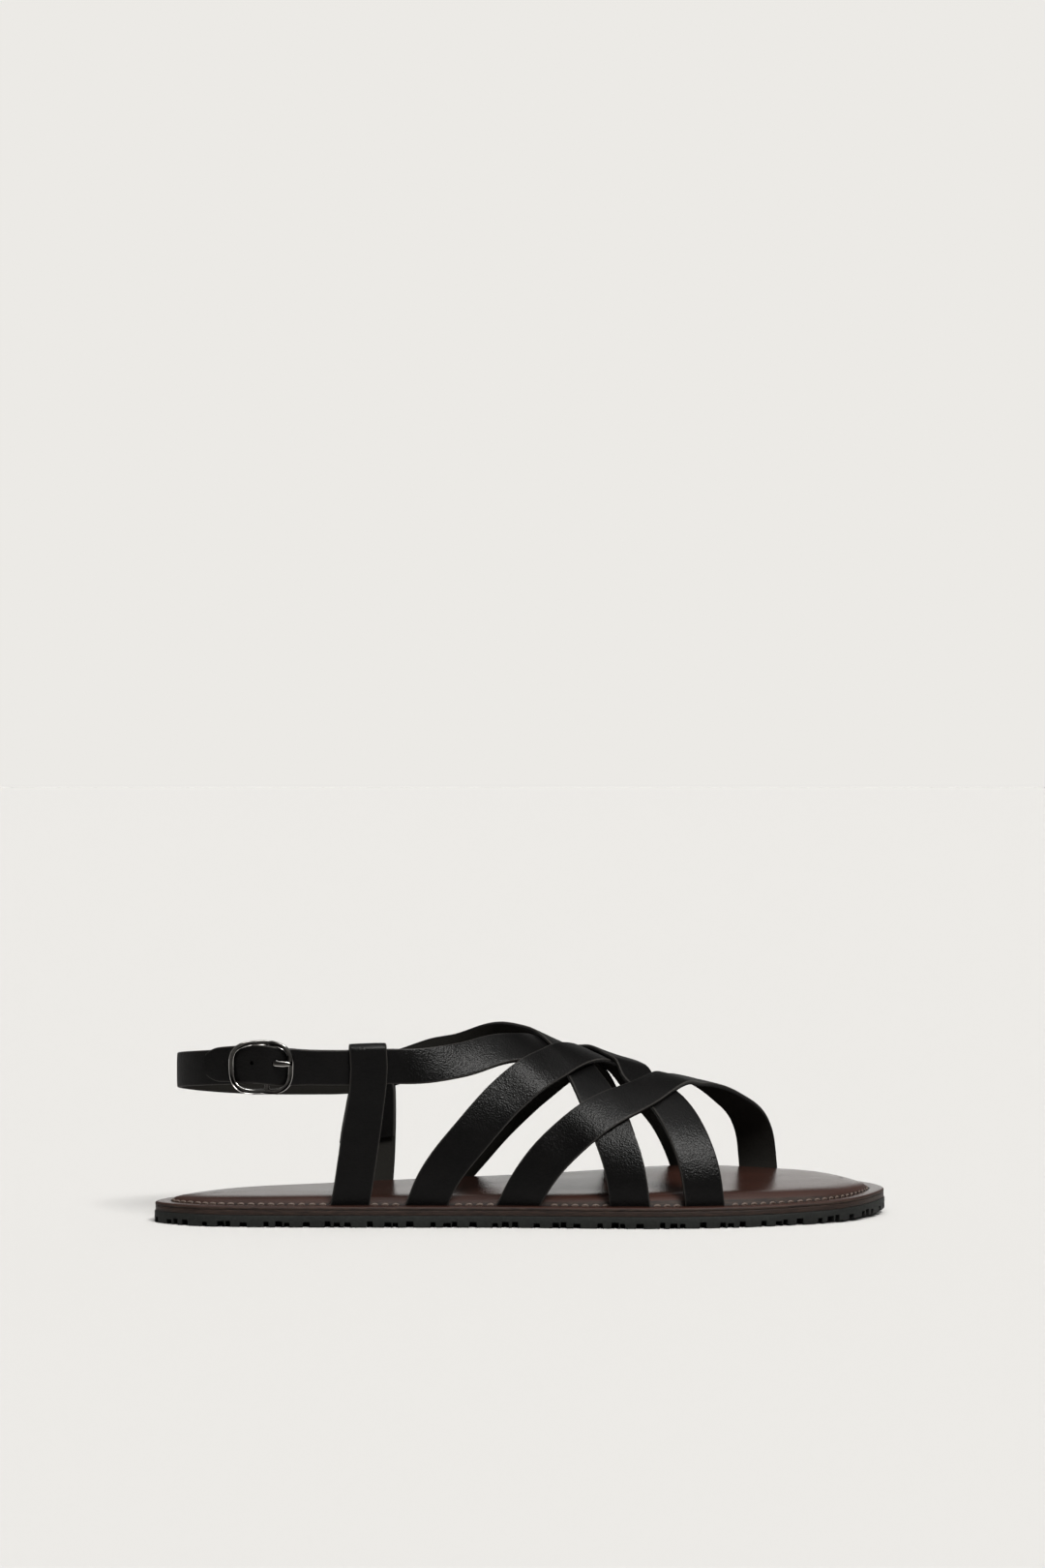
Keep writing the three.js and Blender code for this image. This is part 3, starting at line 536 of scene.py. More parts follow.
# A strap's line has one row for each place: its point, the way off the foot, its width, its lift.
def line_on_last(name, first_width):
    spots = smooth_curve(ROUTES[name], 8, power=None)
    rows = []
    for i, (share, turn) in enumerate(spots):
        turn = min(max(turn, 0), 1)
        width = first_width + (STRAP_WIDTH - first_width) * min(2 * i / len(spots), 1)
        point = curl(last_point(share, turn))
        rows.append(np.concatenate([point, last_normal(share, turn), [width, 0]]))
    return np.array(rows)


ankle = smooth_curve(ANKLE, 60)
ankle_length = lengths_along(ankle)[-1]


def ankle_run(goal):
    """The way the ankle strap's line runs at a length along it."""
    behind, ahead = at_lengths(ankle, [goal - 0.5, goal + 0.5])
    return ahead - behind


def ankle_row(goal, lift=0.0, width=ANKLE_WIDTH):
    run = ankle_run(goal)
    away = unit(np.array([-run[1], run[0], 0]))
    return np.concatenate([at_lengths(ankle, [goal])[0], away, [width, lift]])


def ankle_goal(x):
    """How far round the outer half of the ankle line a given X is passed."""
    half = len(ankle) // 2
    runs = lengths_along(ankle)[:half]
    return float(np.interp(-x, -ankle[:half, 0], runs))


BAR_X = -100.4
TAIL_END_X = -124.8
BAR_LEVEL = 0.9
BAR_RADIUS = 1.0
SLEEVE_RADIUS = 2.6
CLIMB = 9
bar_goal = ankle_goal(BAR_X)
tail_goal = ankle_goal(TAIL_END_X)


def tail_lift(goal):
    """The tail lies on the heel band, climbs over the bar's sleeve, and comes down on the foot."""
    from_bar = goal - bar_goal
    share = min(abs(from_bar) / CLIMB, 1)
    floor = STRAP_THICK if from_bar > 0 else 0
    return floor + (BAR_LEVEL + SLEEVE_RADIUS - 0.2 - floor) * math.cos(share * math.pi / 2) ** 2


def join_lines(before, after, span=7, passes=14):
    """Two lines run into one, with the kink where they meet eased out."""
    line = np.vstack([before, after])
    for _ in range(passes):
        for i in range(len(before) - span, len(before) + span):
            line[i, :7] = (line[i - 1, :7] + 2 * line[i, :7] + line[i + 1, :7]) / 4
            line[i, 3:6] = unit(line[i, 3:6])
    return line


def with_foot(line, at_end, deep=8):
    """The strap's foot runs on straight down into its slot."""
    tip, inner = (line[-1], line[-4]) if at_end else (line[0], line[3])
    foot = tip.copy()
    foot[:3] += unit(tip[:3] - inner[:3]) * deep
    return np.vstack([line, foot]) if at_end else np.vstack([foot, line])


STATION = 1.5


def stations(line):
    """Even cross sections along a line, each with its frame."""
    run = lengths_along(line[:, :3])
    count = round(run[-1] / STATION)
    goals = np.linspace(0, run[-1], count + 1)
    rows = np.stack([np.interp(goals, run, line[:, k]) for k in range(8)], axis=1)
    for _ in range(5):
        rows[1:-1] = (rows[:-2] + 2 * rows[1:-1] + rows[2:]) / 4
    tangent = np.gradient(rows[:, :3], axis=0)
    tangent /= np.linalg.norm(tangent, axis=1)[:, None]
    side = np.cross(rows[:, 3:6], tangent)
    side /= np.linalg.norm(side, axis=1)[:, None]
    return {
        "run": goals,
        "point": rows[:, :3],
        "tangent": tangent,
        "side": side,
        "normal": np.cross(tangent, side),
        "width": rows[:, 6],
        "lift": rows[:, 7].copy(),
        "lean": np.zeros(count + 1),
    }


LAP_PRESS = 0.1
LAP_LEAN = 0.25
LAP_HOLD = 5
LAP_EASE = 10
LAP_BESIDE = 1
LAP_APART = 6


def lap_over(strap, lowers, ahead_of=-math.inf):
    """A strap rides over the lower ones it crosses, leaning as it must, and comes down beyond."""
    need = np.zeros((len(strap["run"]), 3))
    for column, share in enumerate((-0.5, 0, 0.5)):
        spots = strap["point"] + strap["side"] * (share * strap["width"])[:, None]
        for low in lowers:
            apart = spots[:, None, :] - low["point"][None, :, :]
            along, across, above = (
                np.einsum("ijk,jk->ij", apart, low[key]) for key in ("tangent", "side", "normal")
            )
            hit = (np.abs(along) <= STATION) & (np.abs(above) <= LAP_APART)
            hit &= np.abs(across) <= low["width"] / 2 + LAP_BESIDE
            hit &= (strap["point"][:, 0] > ahead_of)[:, None]
            hit &= (low["point"][:, 0] > ahead_of)[None, :]
            top = low["lift"][None, :] + low["lean"][None, :] * across + STRAP_THICK - LAP_PRESS
            need[:, column] = np.maximum(need[:, column], np.where(hit, top - above, 0).max(axis=1))
    apart = np.abs(strap["run"][:, None] - strap["run"][None, :])
    held = np.where((apart <= LAP_HOLD)[:, :, None], need[None, :, :], 0).max(axis=1)
    ease = np.where(apart < LAP_EASE, np.cos(np.minimum(apart / LAP_EASE, 1) * np.pi / 2) ** 2, 0)
    rise = np.einsum("ij,jk->ik", ease / ease.sum(axis=1)[:, None], held)
    strap["lean"] = LAP_LEAN * (rise[:, 2] - rise[:, 0]) / strap["width"]
    strap["lift"] = rise.max(axis=1) - LAP_LEAN * np.abs(rise[:, 2] - rise[:, 0]) / 2


# The tail: its tip is rounded, it swells in the ring, and it hangs a little higher behind the bar.
TAIL_STEPS = 45
TAIL_TIP_WIDTH = 8
TAIL_TIP_LENGTH = 4
TAIL_SWELL = 1.3
SWELL_REACH = 13
TAIL_RISE = 1.1
tail_line = []
for i in range(TAIL_STEPS + 1):
    goal = tail_goal * (1 - i / TAIL_STEPS)
    grown = min((tail_goal - goal) / TAIL_TIP_LENGTH, 1)
    width = TAIL_TIP_WIDTH + (ANKLE_WIDTH - TAIL_TIP_WIDTH) * math.sqrt(grown)
    from_bar = min(abs(goal - bar_goal) / SWELL_REACH, 1)
    width += TAIL_SWELL * math.cos(from_bar * math.pi / 2) ** 0.5
    row = ankle_row(goal, tail_lift(goal), width)
    behind = min(max((goal - bar_goal + 6) / 9, 0), 1)
    row[2] += TAIL_RISE * behind**2 * (3 - 2 * behind)
    tail_line.append(row)
heel_line = [ankle_row(bar_goal + (ankle_length - bar_goal) * i / 60) for i in range(61)]

straps = {}
for name, ankle_part in (("outer_arm", tail_line), ("inner_arm", heel_line)):
    line = join_lines(np.array(ankle_part), line_on_last(name, ANKLE_WIDTH))
    straps[name] = stations(with_foot(line, True))
lap_over(straps["inner_arm"], [straps["outer_arm"]], ahead_of=-40)

# Beyond the top of the foot the instep strap bows clear of the arms, its back edge most of all. The
# ball strap rises early to meet it, and the toe strap stands out at its far shoulder. Each of the
# three laps all before it: where along it bows, how far to each side, how high, and how tilted.
BOWS = {
    "instep_strap": (143, 23, 1.3, 2.2),
    "ball_strap": (85, 7, 0.7, 0.0),
    "toe_strap": (163, 17, 1.1, 0.0),
}
for name, (bowed_at, reach, rise, tilt) in BOWS.items():
    strap = stations(with_foot(with_foot(line_on_last(name, STRAP_WIDTH), True), False))
    lap_over(strap, list(straps.values()))
    near = np.minimum(np.abs(strap["run"] - bowed_at) / reach, 1)
    bow = np.cos(near * np.pi / 2) ** 2
    strap["lift"] += rise * bow
    strap["lean"] += tilt * bow / strap["width"]
    straps[name] = strap

# ---- Padded insole -------------------------------------------------------------------------------
# The insole is brown leather pulled over a foam pad. It is sewn down in a groove 6 to 7 mm in from
# the edge, and outside that lies flat as a rim. The straps go down through slots just outside the
# seam.

RIM_THICK = 1.3
RIM_WIDTH = 6.6
RIM_TOP = INSOLE_BOTTOM + RIM_THICK
PAD_DEPTH = 16.0
PAD_BLEND = 60
SLOT_ROOM = 0.15

# Height of the pad above the rim: share of the length, outer side, inner side with the arch.
PAD = [
    (0.0, 1.9, 1.5),
    (0.18, 2.5, 2.0),
    (0.33, 2.9, 3.3),
    (0.44, 3.0, 4.7),
    (0.57, 3.5, 5.7),
    (0.715, 4.3, 7.0),
    (0.785, 4.2, 6.8),
    (0.87, 3.6, 5.3),
    (0.95, 2.6, 3.3),
    (1.0, 1.2, 1.4),
]


def pad_height(x, y):
    side = min(max(0.5 + y / PAD_BLEND, 0), 1)
    outer = read_row(PAD, 1, share_of(x))
    inner = read_row(PAD, 2, share_of(x))
    return outer + (inner - outer) * side


def middle_line(count):
    """The sole's middle, passed once on the way to the toe and once on the way back."""
    shares = np.minimum(np.arange(count), count - np.arange(count)) / count
    goals = (0.055 + shares * 0.78) * outline_length
    return (at_lengths(outline, goals) + at_lengths(outline, outline_length - goals)) / 2


def insole_ring(depth, level, toward_middle=0.0):
    ring, _ = round_the_sole(SOLE_POINTS, depth)
    ring = ring + (middle_line(SOLE_POINTS) - ring) * toward_middle
    rows = []
    for x, y in ring:
        z = level if not callable(level) else level(x, y)
        rows.append((x, y, z + float(spring(x))))
    return np.array(rows)


def pad(share):
    return lambda x, y: RIM_TOP + 0.7 + share * pad_height(x, y)


def skin(name, rings, loop=False, fold=False):
    """A mesh laid over rings of equal count, its ends capped, folded shut or joined in a loop."""
    count = len(rings[0])
    mesh = bmesh.new()
    grid = [[mesh.verts.new(np.asarray(p) * MM) for p in ring] for ring in rings]
    for r in range(len(rings) if loop else len(rings) - 1):
        near, far = grid[r], grid[(r + 1) % len(rings)]
        for i in range(count):
            j = (i + 1) % count
            mesh.faces.new((near[i], near[j], far[j], far[i]))
    if not loop and not fold:
        mesh.faces.new(list(reversed(grid[0])))
        mesh.faces.new(grid[-1])
    if fold:
        bmesh.ops.remove_doubles(mesh, verts=mesh.verts, dist=1e-6)
    bmesh.ops.recalc_face_normals(mesh, faces=mesh.faces)
    data = bpy.data.meshes.new(name)
    mesh.to_mesh(data)
    mesh.free()
    return new_piece(name, data)


# The insole's surface: depth in from the edge, level, and how far it is drawn on to the middle.
INSOLE_RINGS = [
    (0.4, INSOLE_BOTTOM, 1.0),
    (0.4, INSOLE_BOTTOM, 0.5),
    (0.5, INSOLE_BOTTOM),
    (0.3, INSOLE_BOTTOM + 0.2),
    (0.25, RIM_TOP - 0.75),
    (0.4, RIM_TOP - 0.3),
    (0.8, RIM_TOP),
    (1.4, RIM_TOP + 0.06),
    (3.2, RIM_TOP + 0.12),
    (RIM_WIDTH - 1.1, RIM_TOP + 0.1),
    (RIM_WIDTH - 0.5, RIM_TOP - 0.02),
    (RIM_WIDTH - 0.15, RIM_TOP - 0.25),
    (RIM_WIDTH + 0.1, RIM_TOP - 0.25),
    (RIM_WIDTH + 0.35, RIM_TOP + 0.1),
    (RIM_WIDTH + 0.8, RIM_TOP + 0.65),
    (RIM_WIDTH + 1.2, pad(0.3)),
    (8.6, pad(0.5)),
    (9.8, pad(0.68)),
    (11.4, pad(0.81)),
    (13.4, pad(0.9)),
    (PAD_DEPTH, pad(0.95)),
    (PAD_DEPTH, pad(0.97), 0.2),
    (PAD_DEPTH, pad(0.98), 0.45),
    (PAD_DEPTH, pad(1.0), 0.72),
    (PAD_DEPTH, pad(0.98), 1.0),
]
insole = skin("padded_insole", [insole_ring(*row) for row in INSOLE_RINGS], fold=True)


def section(width, thick, grow, crown=0.0):
    """A strap's section from its inner face: side edges rounded, outer face a little domed."""
    half = width / 2 + grow
    low, top = -grow, thick + grow
    right = [(half - 0.3, low), (half - 0.08, low + 0.09), (half, low + 0.35), (half, top - 0.5)]
    right += [(half - 0.1, top - 0.2), (half - 0.3, top - 0.04), (half - 0.7, top)]
    right += [(half * 0.75, top + crown * 0.5), (half * 0.4, top + crown)]
    left = [(-across, up) for across, up in reversed(right)]
    return [left[-1], (0, low)] + right + [(0, top + crown)] + left[:-1]


def strap_ring(strap, i, grow=0.0, crown=0.0):
    rows = section(strap["width"][i], STRAP_THICK, grow, crown)
    return [
        strap["point"][i]
        + strap["side"][i] * across
        + strap["normal"][i] * (strap["lift"][i] + strap["lean"][i] * across + up)
        for across, up in rows
    ]


# Slots for the straps, cut with a little room round each foot.
for strap in straps.values():
    count = len(strap["run"])
    for end in (range(20), range(count - 20, count)):
        rings = [strap_ring(strap, i, SLOT_ROOM) for i in end if strap["point"][i][2] < 24]
        if len(rings) > 2:
            cut_away(insole, skin("slot_cutter", rings))


def note(piece, name, values):
    """Keeps a number with each point of a mesh, for its material to read."""
    marks = piece.data.attributes.new(name, "FLOAT", "POINT").data
    for mark, value in zip(marks, values):
        mark.value = value


# The bottom of the groove is noted on the mesh, so that painted shade can darken it.
GROOVE_HALF = 0.62
seam_line, _ = round_the_sole(2 * SOLE_POINTS, RIM_WIDTH)
in_groove = []
for vertex in insole.data.vertices:
    x, y, z = vertex.co / MM
    low = RIM_TOP - 0.5 < z - float(spring(x)) < RIM_TOP + 0.3
    near = np.min(np.linalg.norm(seam_line - (x, y), axis=1)) < GROOVE_HALF
    in_groove.append(1.0 if low and near else 0.0)
note(insole, "groove", in_groove)
smooth(insole, 50)
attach(insole, "root")
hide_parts("footbed")

# Waxed full-grain brown leather: a deep red-brown, a little cloudy, with fine pores half a
# millimetre apart. It is polished to a soft shine where it faces up, and its cut edge shows round
# the rim.
EDGE_TOP = 0.0105


def spread(tree, value, low, high, start=0.0, end=1.0, kind="LINEAR"):
    """Takes a value that runs from start to end, and makes it run from low to high."""
    inputs = {"Value": value, "From Min": start, "From Max": end, "To Min": low, "To Max": high}
    return add(tree, "ShaderNodeMapRange", inputs, interpolation_type=kind).outputs["Result"]


brown, tree, shader = new_material("waxed_brown_leather")
place = add(tree, "ShaderNodeTexCoord").outputs["Object"]
cloud = noise(tree, place, 26, 5, 0.55)
leather = two_tones(tree, cloud, "#251713", "#35201a", 0.3, 0.72)
pores = add(tree, "ShaderNodeTexVoronoi", {"Vector": place, "Scale": 1700}).outputs["Distance"]
wrinkle = noise(tree, place, 420, 4, 0.6)
flat = add(tree, "ShaderNodeMapping", {"Vector": place, "Scale": (1, 1, 8)})
layers = noise(tree, flat.outputs["Vector"], 260, 5)
edge_tone = two_tones(tree, layers, "#1a110f", "#34271f", 0.35, 0.7)
facing = facing_up(tree)
height = add(tree, "ShaderNodeSeparateXYZ", {"Vector": place}).outputs["Z"]
upright, low_down = calc(tree, "LESS_THAN", facing, 0.55), calc(tree, "LESS_THAN", height, EDGE_TOP)
both = mix(tree, calc(tree, "MULTIPLY", upright, low_down), leather, edge_tone)
brown_look = {
    # Painted shade: the bottom of the groove is coloured nearly black.
    "Base Color": mix(tree, mark_of(tree, "groove"), both, linear("#0a0605")),
    "Roughness": spread(tree, facing, 0.6, spread(tree, cloud, 0.16, 0.28), 0.86, 0.98),
    "Specular IOR Level": 0.2,
    "Normal": bumps(tree, (pores, 0.15, 0.0002), (wrinkle, 0.12, 0.0004)),
}
fill(tree, shader, brown_look)
cover(insole, brown)

# ---- Seam round the insole -----------------------------------------------------------------------
# A waxed brown thread sews the insole down in its groove, in slanted stitches 3.8 mm apart that
# each dip into their hole.

STITCH_PITCH = 3.8
STITCH_LENGTH = 3.0
THREAD_HALF = 0.36
THREAD_TALL = 0.38
SEAM_DEPTH = RIM_WIDTH + 0.3
SEAM_SHARE = 0.94
SEAM_RISE = 0.42
SLANT = 0.16
seam_count = int(outline_length * SEAM_SHARE / STITCH_PITCH)

# A stitch is a small ball drawn out along the thread.
ball = bmesh.new()
bmesh.ops.create_uvsphere(ball, u_segments=8, v_segments=6, radius=1)
ball.verts.index_update()
ball_points = [vertex.co.copy() for vertex in ball.verts]
ball_faces = [[vertex.index for vertex in face.verts] for face in ball.faces]
ball.free()


def sewn(name, stitches):
    """A piece made of stitches, from the places in mm of the points of each."""
    points = [point * MM for stitch in stitches for point in stitch]
    starts = range(0, len(points), len(ball_points))
    faces = [[start + i for i in face] for start in starts for face in ball_faces]
    data = bpy.data.meshes.new(name)
    data.from_pydata(points, [], faces)
    piece = new_piece(name, data)
    face_outward(piece)
    bpy.ops.object.shade_smooth()
    return piece


# No stitch lies on the foot of a strap: over its last stations, up to a height, out to its edges,
# and near its face.
FOOT_STATIONS = 10
FOOT_TOP = 14
FOOT_REACH = 9
FOOT_CLEAR = 1.2


def over_a_foot(spot):
    for strap in straps.values():
        for i in range(-FOOT_STATIONS, FOOT_STATIONS):
            point = strap["point"][i]
            apart = spot - point[:2]
            across = abs(np.dot(apart, strap["side"][i][:2]))
            off = abs(np.dot(apart, strap["normal"][i][:2]))
            near = across < strap["width"][i] / 2 and off < FOOT_CLEAR
            if near and point[2] <= FOOT_TOP and np.linalg.norm(apart) < FOOT_REACH:
                return True
    return False


stitches = []
for spot, run in zip(*round_the_sole(seam_count, SEAM_DEPTH)):
    if over_a_foot(spot):
        continue
    stitch = []
    for p in ball_points:
        along = p.z * STITCH_LENGTH / 2
        slant = along * SLANT + p.x * THREAD_HALF
        dip = 0.5 * p.x * THREAD_HALF - 0.4 * p.z**2
        x, y = spot + run * along + np.array([-run[1], run[0]]) * slant
        z = RIM_TOP + SEAM_RISE + float(spring(spot[0])) + p.y * THREAD_TALL + dip
        stitch.append(np.array([x, y, z]))
    stitches.append(stitch)
seam = sewn("insole_seam", stitches)
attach(seam, "root")

# Waxed linen thread, twisted: fine slanting lines and a dull shine.
thread, tree, shader = new_material("waxed_brown_thread")
place = add(tree, "ShaderNodeTexCoord").outputs["Object"]
inputs = {"Vector": place, "Scale": 1500, "Distortion": 1}
twist = add(tree, "ShaderNodeTexWave", inputs, bands_direction="DIAGONAL").outputs["Fac"]
thread_look = {
    "Base Color": two_tones(tree, twist, "#352822", "#6a5a50", 0.2, 0.8),
    "Roughness": 0.55,
    "Normal": bumps(tree, (twist, 0.3, 0.0002)),
}
fill(tree, shader, thread_look)
cover(seam, thread)

# ---- Black leather straps ------------------------------------------------------------------------
# Five straps of black leather, 1.8 mm thick, go down through the insole and are glued under it.
# They lap one another over the instep. Two of them run back as the arms of the ankle strap: the
# inner one goes round the heel to the buckle, and the outer one ends in a punched tail.


# Columns of a strap's section: how strongly each carries the painted highlight along a cut edge,
# and those of its inner face.
EDGE_HIGHLIGHT_COLUMNS = {5: 0.3, 6: 1.0, 7: 0.3, 15: 0.3, 16: 1.0, 17: 0.3}
LINING_COLUMNS = (0, 1, 2)
CROWN = 0.14


def leather_piece(name, rings):
    """A leather strip, its feet cut off level with the insole's underside, where they are glued."""
    piece = skin(name, rings)
    columns = [i % len(rings[0]) for i in range(len(piece.data.vertices))]
    note(piece, "cut_edge", [EDGE_HIGHLIGHT_COLUMNS.get(column, 0.0) for column in columns])
    note(piece, "lining", [1.0 if column in LINING_COLUMNS else 0.0 for column in columns])
    level = {"plane_co": (0, 0, INSOLE_BOTTOM * MM), "plane_no": (0, 0, 1)}
    edit_all(piece, bpy.ops.mesh.bisect, use_fill=True, clear_inner=True, **level)
    return piece


strap_pieces = {}
for name, strap in straps.items():
    rings = [strap_ring(strap, i, crown=CROWN) for i in range(len(strap["run"]))]
    strap_pieces[name] = leather_piece(name, rings)

# Full-grain black leather: nearly black, with a fine pebbled grain that sparkles where the light
# glances off its thin wax coat, and soft creases. The pale line along the cut edges is a painted
# highlight. The inner face is matt and a little greyer.
black, tree, shader = new_material("black_full_grain_leather")
place = add(tree, "ShaderNodeTexCoord").outputs["Object"]
grain = add(tree, "ShaderNodeTexVoronoi", {"Vector": place, "Scale": 1500}).outputs["Distance"]
pebble = noise(tree, place, 1100, 3, 0.65)
crease = noise(tree, place, 150, 4, distortion=1.5)
face = two_tones(tree, noise(tree, place, 70, 5, 0.6), "#060606", "#0b0a0a", 0.3, 0.7)
# Painted highlight: the cut edges are coloured pale, where light would glance off their bevels.
face_with_edge_highlight = mix(tree, mark_of(tree, "cut_edge"), face, linear("#3d3b39"))
lining_mark = mark_of(tree, "lining")
relief = bumps(tree, (grain, 0.6, 0.00014), (pebble, 0.6, 0.0002), (crease, 0.2, 0.0006))
black_look = {
    "Base Color": mix(tree, lining_mark, face_with_edge_highlight, linear("#232220")),
    "Roughness": 0.7,
    "Specular IOR Level": 0.0,
    "Coat Weight": spread(tree, lining_mark, 0.2, 0.0),
    "Coat Roughness": 0.3,
    "Normal": relief,
    "Coat Normal": relief,
}
fill(tree, shader, black_look)


def finish_leather(piece, slot_name, *nodes):
    cover(piece, black)
    smooth(piece, 48)
    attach(piece, "root")
    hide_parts(*nodes)


# ---- Buckle --------------------------------------------------------------------------------------
# A rounded oblong ring of 2 mm wire, flattened on its face and plated dark, with a bar across it.
# The heel band is folded round the bar in a sewn sleeve, and the prong hooked on the bar comes up
# through a hole in the tail.

RING_X = -102.1
BUCKLE_LENGTH = 23.9
BUCKLE_HEIGHT = 20.9
BUCKLE_WIRE = 2.1
RING_FRONT_LEVEL = 4.0
RING_REAR_LEVEL = 4.75
RING_FRONT_DIP = 6
RING_REAR_DIP = 9
RING_CORNER = 2 / 3
RING_DROP = 0.4
WIRE_CORNER = 0.55
WIRE_FLAT = 0.86
WIRE_HOLLOW = 0.28
HOLLOW_SHARE = 0.72
HOLE_RISE = 1.4


def on_strap(ahead, across, level):
    """A place ahead of the bar along the ankle strap, across it, and off its inner face."""
    row = ankle_row(bar_goal - ahead)
    side = unit(np.cross(row[3:6], -ankle_run(bar_goal - ahead)))
    return row[:3] + side * across + row[3:6] * level


def squared(value, power):
    """Takes a cosine or sine towards the sides of a square; the lower the power, the squarer."""
    return math.copysign(abs(value) ** power, value)


def ring_place(angle):
    half_long = (BUCKLE_LENGTH - BUCKLE_WIRE) / 2
    half_tall = (BUCKLE_HEIGHT - BUCKLE_WIRE) / 2
    ahead = bar_goal - ankle_goal(RING_X) + half_long * squared(math.cos(angle), RING_CORNER)
    across = half_tall * squared(math.sin(angle), RING_CORNER) - RING_DROP
    front, rear = (RING_FRONT_LEVEL, RING_FRONT_DIP), (RING_REAR_LEVEL, RING_REAR_DIP)
    high, reach = front if ahead > 0 else rear
    dip = math.cos(min(abs(ahead) / reach, 1) * math.pi / 2) ** 2
    return on_strap(ahead, across, high - (high - BAR_LEVEL) * dip)


def join_into(target, *parts):
    choose(target)
    for part in parts:
        part.select_set(True)
    bpy.ops.object.join()


# A plain torus is laid round the ring's own line, and its wire is squared and hollowed on its face.
TORUS_RADIUS = 10
deselect()
bpy.ops.mesh.primitive_torus_add(
    major_segments=144,
    minor_segments=32,
    major_radius=TORUS_RADIUS * MM,
    minor_radius=BUCKLE_WIRE / 2 * MM,
)
ring = bpy.context.object
ring.name = "buckle_ring"
away = ankle_row(bar_goal)[3:6]
# The corners of the wire's face are marked to carry a painted highlight.
wear_and_highlight = []
for vertex in ring.data.vertices:
    angle = math.atan2(vertex.co.y, vertex.co.x)
    out = (math.hypot(vertex.co.x, vertex.co.y) / MM) - TORUS_RADIUS
    round_at = math.atan2(vertex.co.z / MM, out)
    corner = min(abs(round_at - math.pi / 4), abs(round_at - 3 * math.pi / 4))
    wear_and_highlight.append(max(0, 1 - corner / 0.3))
    half = BUCKLE_WIRE / 2
    out = half * squared(math.cos(round_at), WIRE_CORNER)
    up = WIRE_FLAT * half * squared(math.sin(round_at), WIRE_CORNER)
    if up > 0:
        up -= WIRE_HOLLOW * max(0, 1 - (out / (HOLLOW_SHARE * half)) ** 4)
    middle = ring_place(angle)
    run = unit(ring_place(angle + 0.02) - ring_place(angle - 0.02))
    level = unit(away - run * np.dot(away, run))
    wide = np.cross(run, level)
    vertex.co = (middle + wide * out + level * up) * MM
note(ring, "wear_and_highlight", wear_and_highlight)


def rod(radius, length, axis, centre, longer=0.0):
    """A rod laid along an axis, its section longer than round by a share."""
    deselect()
    bpy.ops.mesh.primitive_cylinder_add(vertices=20, radius=radius * MM, depth=length * MM)
    turn = Vector((0, 0, 1)).rotation_difference(Vector(axis))
    for vertex in bpy.context.object.data.vertices:
        vertex.co.x *= 1 + longer
        vertex.co = turn @ vertex.co + Vector(centre) * MM
    return bpy.context.object


low, high = (on_strap(0, end - RING_DROP, BAR_LEVEL) for end in (-1, 1))
bar_length = BUCKLE_HEIGHT - 2.8
bar = rod(BAR_RADIUS, bar_length, Vector(high - low).normalized(), (low + high) / 2)
join_into(ring, bar)
face_outward(ring)
smooth(ring, 60)
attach(ring, "root")
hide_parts("buckle_frame")

# The prong: a flat tongue curled round the bar at one end, ahead of the bar and above the strap.
# The table holds how far ahead of the bar and how far off the strap's inner face it passes.
PRONG = [(0.6, 2.2), (1.7, 2.7), (2.8, 4.1), (4.2, 5.3), (6.4, 6.0), (8.8, 6.2)]
PRONG_HALF_WIDTH = 1.1
PRONG_HALF_THICK = 0.72
PRONG_CORNER = 0.45
PRONG_SIDES = 16
# The prong's upper corners, which carry a painted highlight.
PRONG_HIGHLIGHT_COLUMNS = (1, 2, 5, 6)
TAPER = 0.35
TAPER_SHARE = 0.2
prong_line = smooth_curve(PRONG, 6)
last = len(prong_line) - 1
prong_rings = []
for i, (ahead, level) in enumerate(prong_line):
    run = unit(prong_line[min(i + 1, last)] - prong_line[max(i - 1, 0)])
    tip = 1 - TAPER * max(0, (i / last - (1 - TAPER_SHARE)) / TAPER_SHARE)
    ring_points = []
    for k in range(PRONG_SIDES):
        angle = 2 * math.pi * (k + 0.5) / PRONG_SIDES
        across = PRONG_HALF_WIDTH * tip * squared(math.cos(angle), PRONG_CORNER)
        rise = PRONG_HALF_THICK * tip * squared(math.sin(angle), PRONG_CORNER)
        place = (ahead - run[1] * rise, HOLE_RISE + across, level + run[0] * rise)
        ring_points.append(on_strap(*place))
    prong_rings.append(ring_points)
prong = skin("buckle_tongue", prong_rings)
columns = [i % PRONG_SIDES for i in range(len(prong.data.vertices))]
note(prong, "wear_and_highlight", [1.0 if column in PRONG_HIGHLIGHT_COLUMNS else 0.0 for column in columns])

# The sections of the prong's eye and of the two parts of the sleeve: how far across the strap, and
# how far out from the bar's axis.
EYE = [(-1.1, 1.35), (-0.95, 2.05), (0.95, 2.05), (1.1, 1.35)]
SLEEVE_IN = 1.3
SLEEVE_ROUND = 2.3
SLEEVE_OUT = 2.55
SLEEVE_GAP = 1.5


def round_the_bar(name, profile):
    """A piece turned round the bar, from how far across and how far out its profile passes."""
    rings = []
    for angle in 2 * math.pi * np.arange(28) / 28:
        c, d = math.cos(angle), math.sin(angle)
        rings.append([on_strap(r * c, across, BAR_LEVEL + r * d) for across, r in profile])
    return skin(name, rings, loop=True)


eye = round_the_bar("eye", [(HOLE_RISE + across, radius) for across, radius in EYE])
join_into(prong, eye)
smooth(prong, 45)
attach(prong, "root")
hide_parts("buckle_prong")

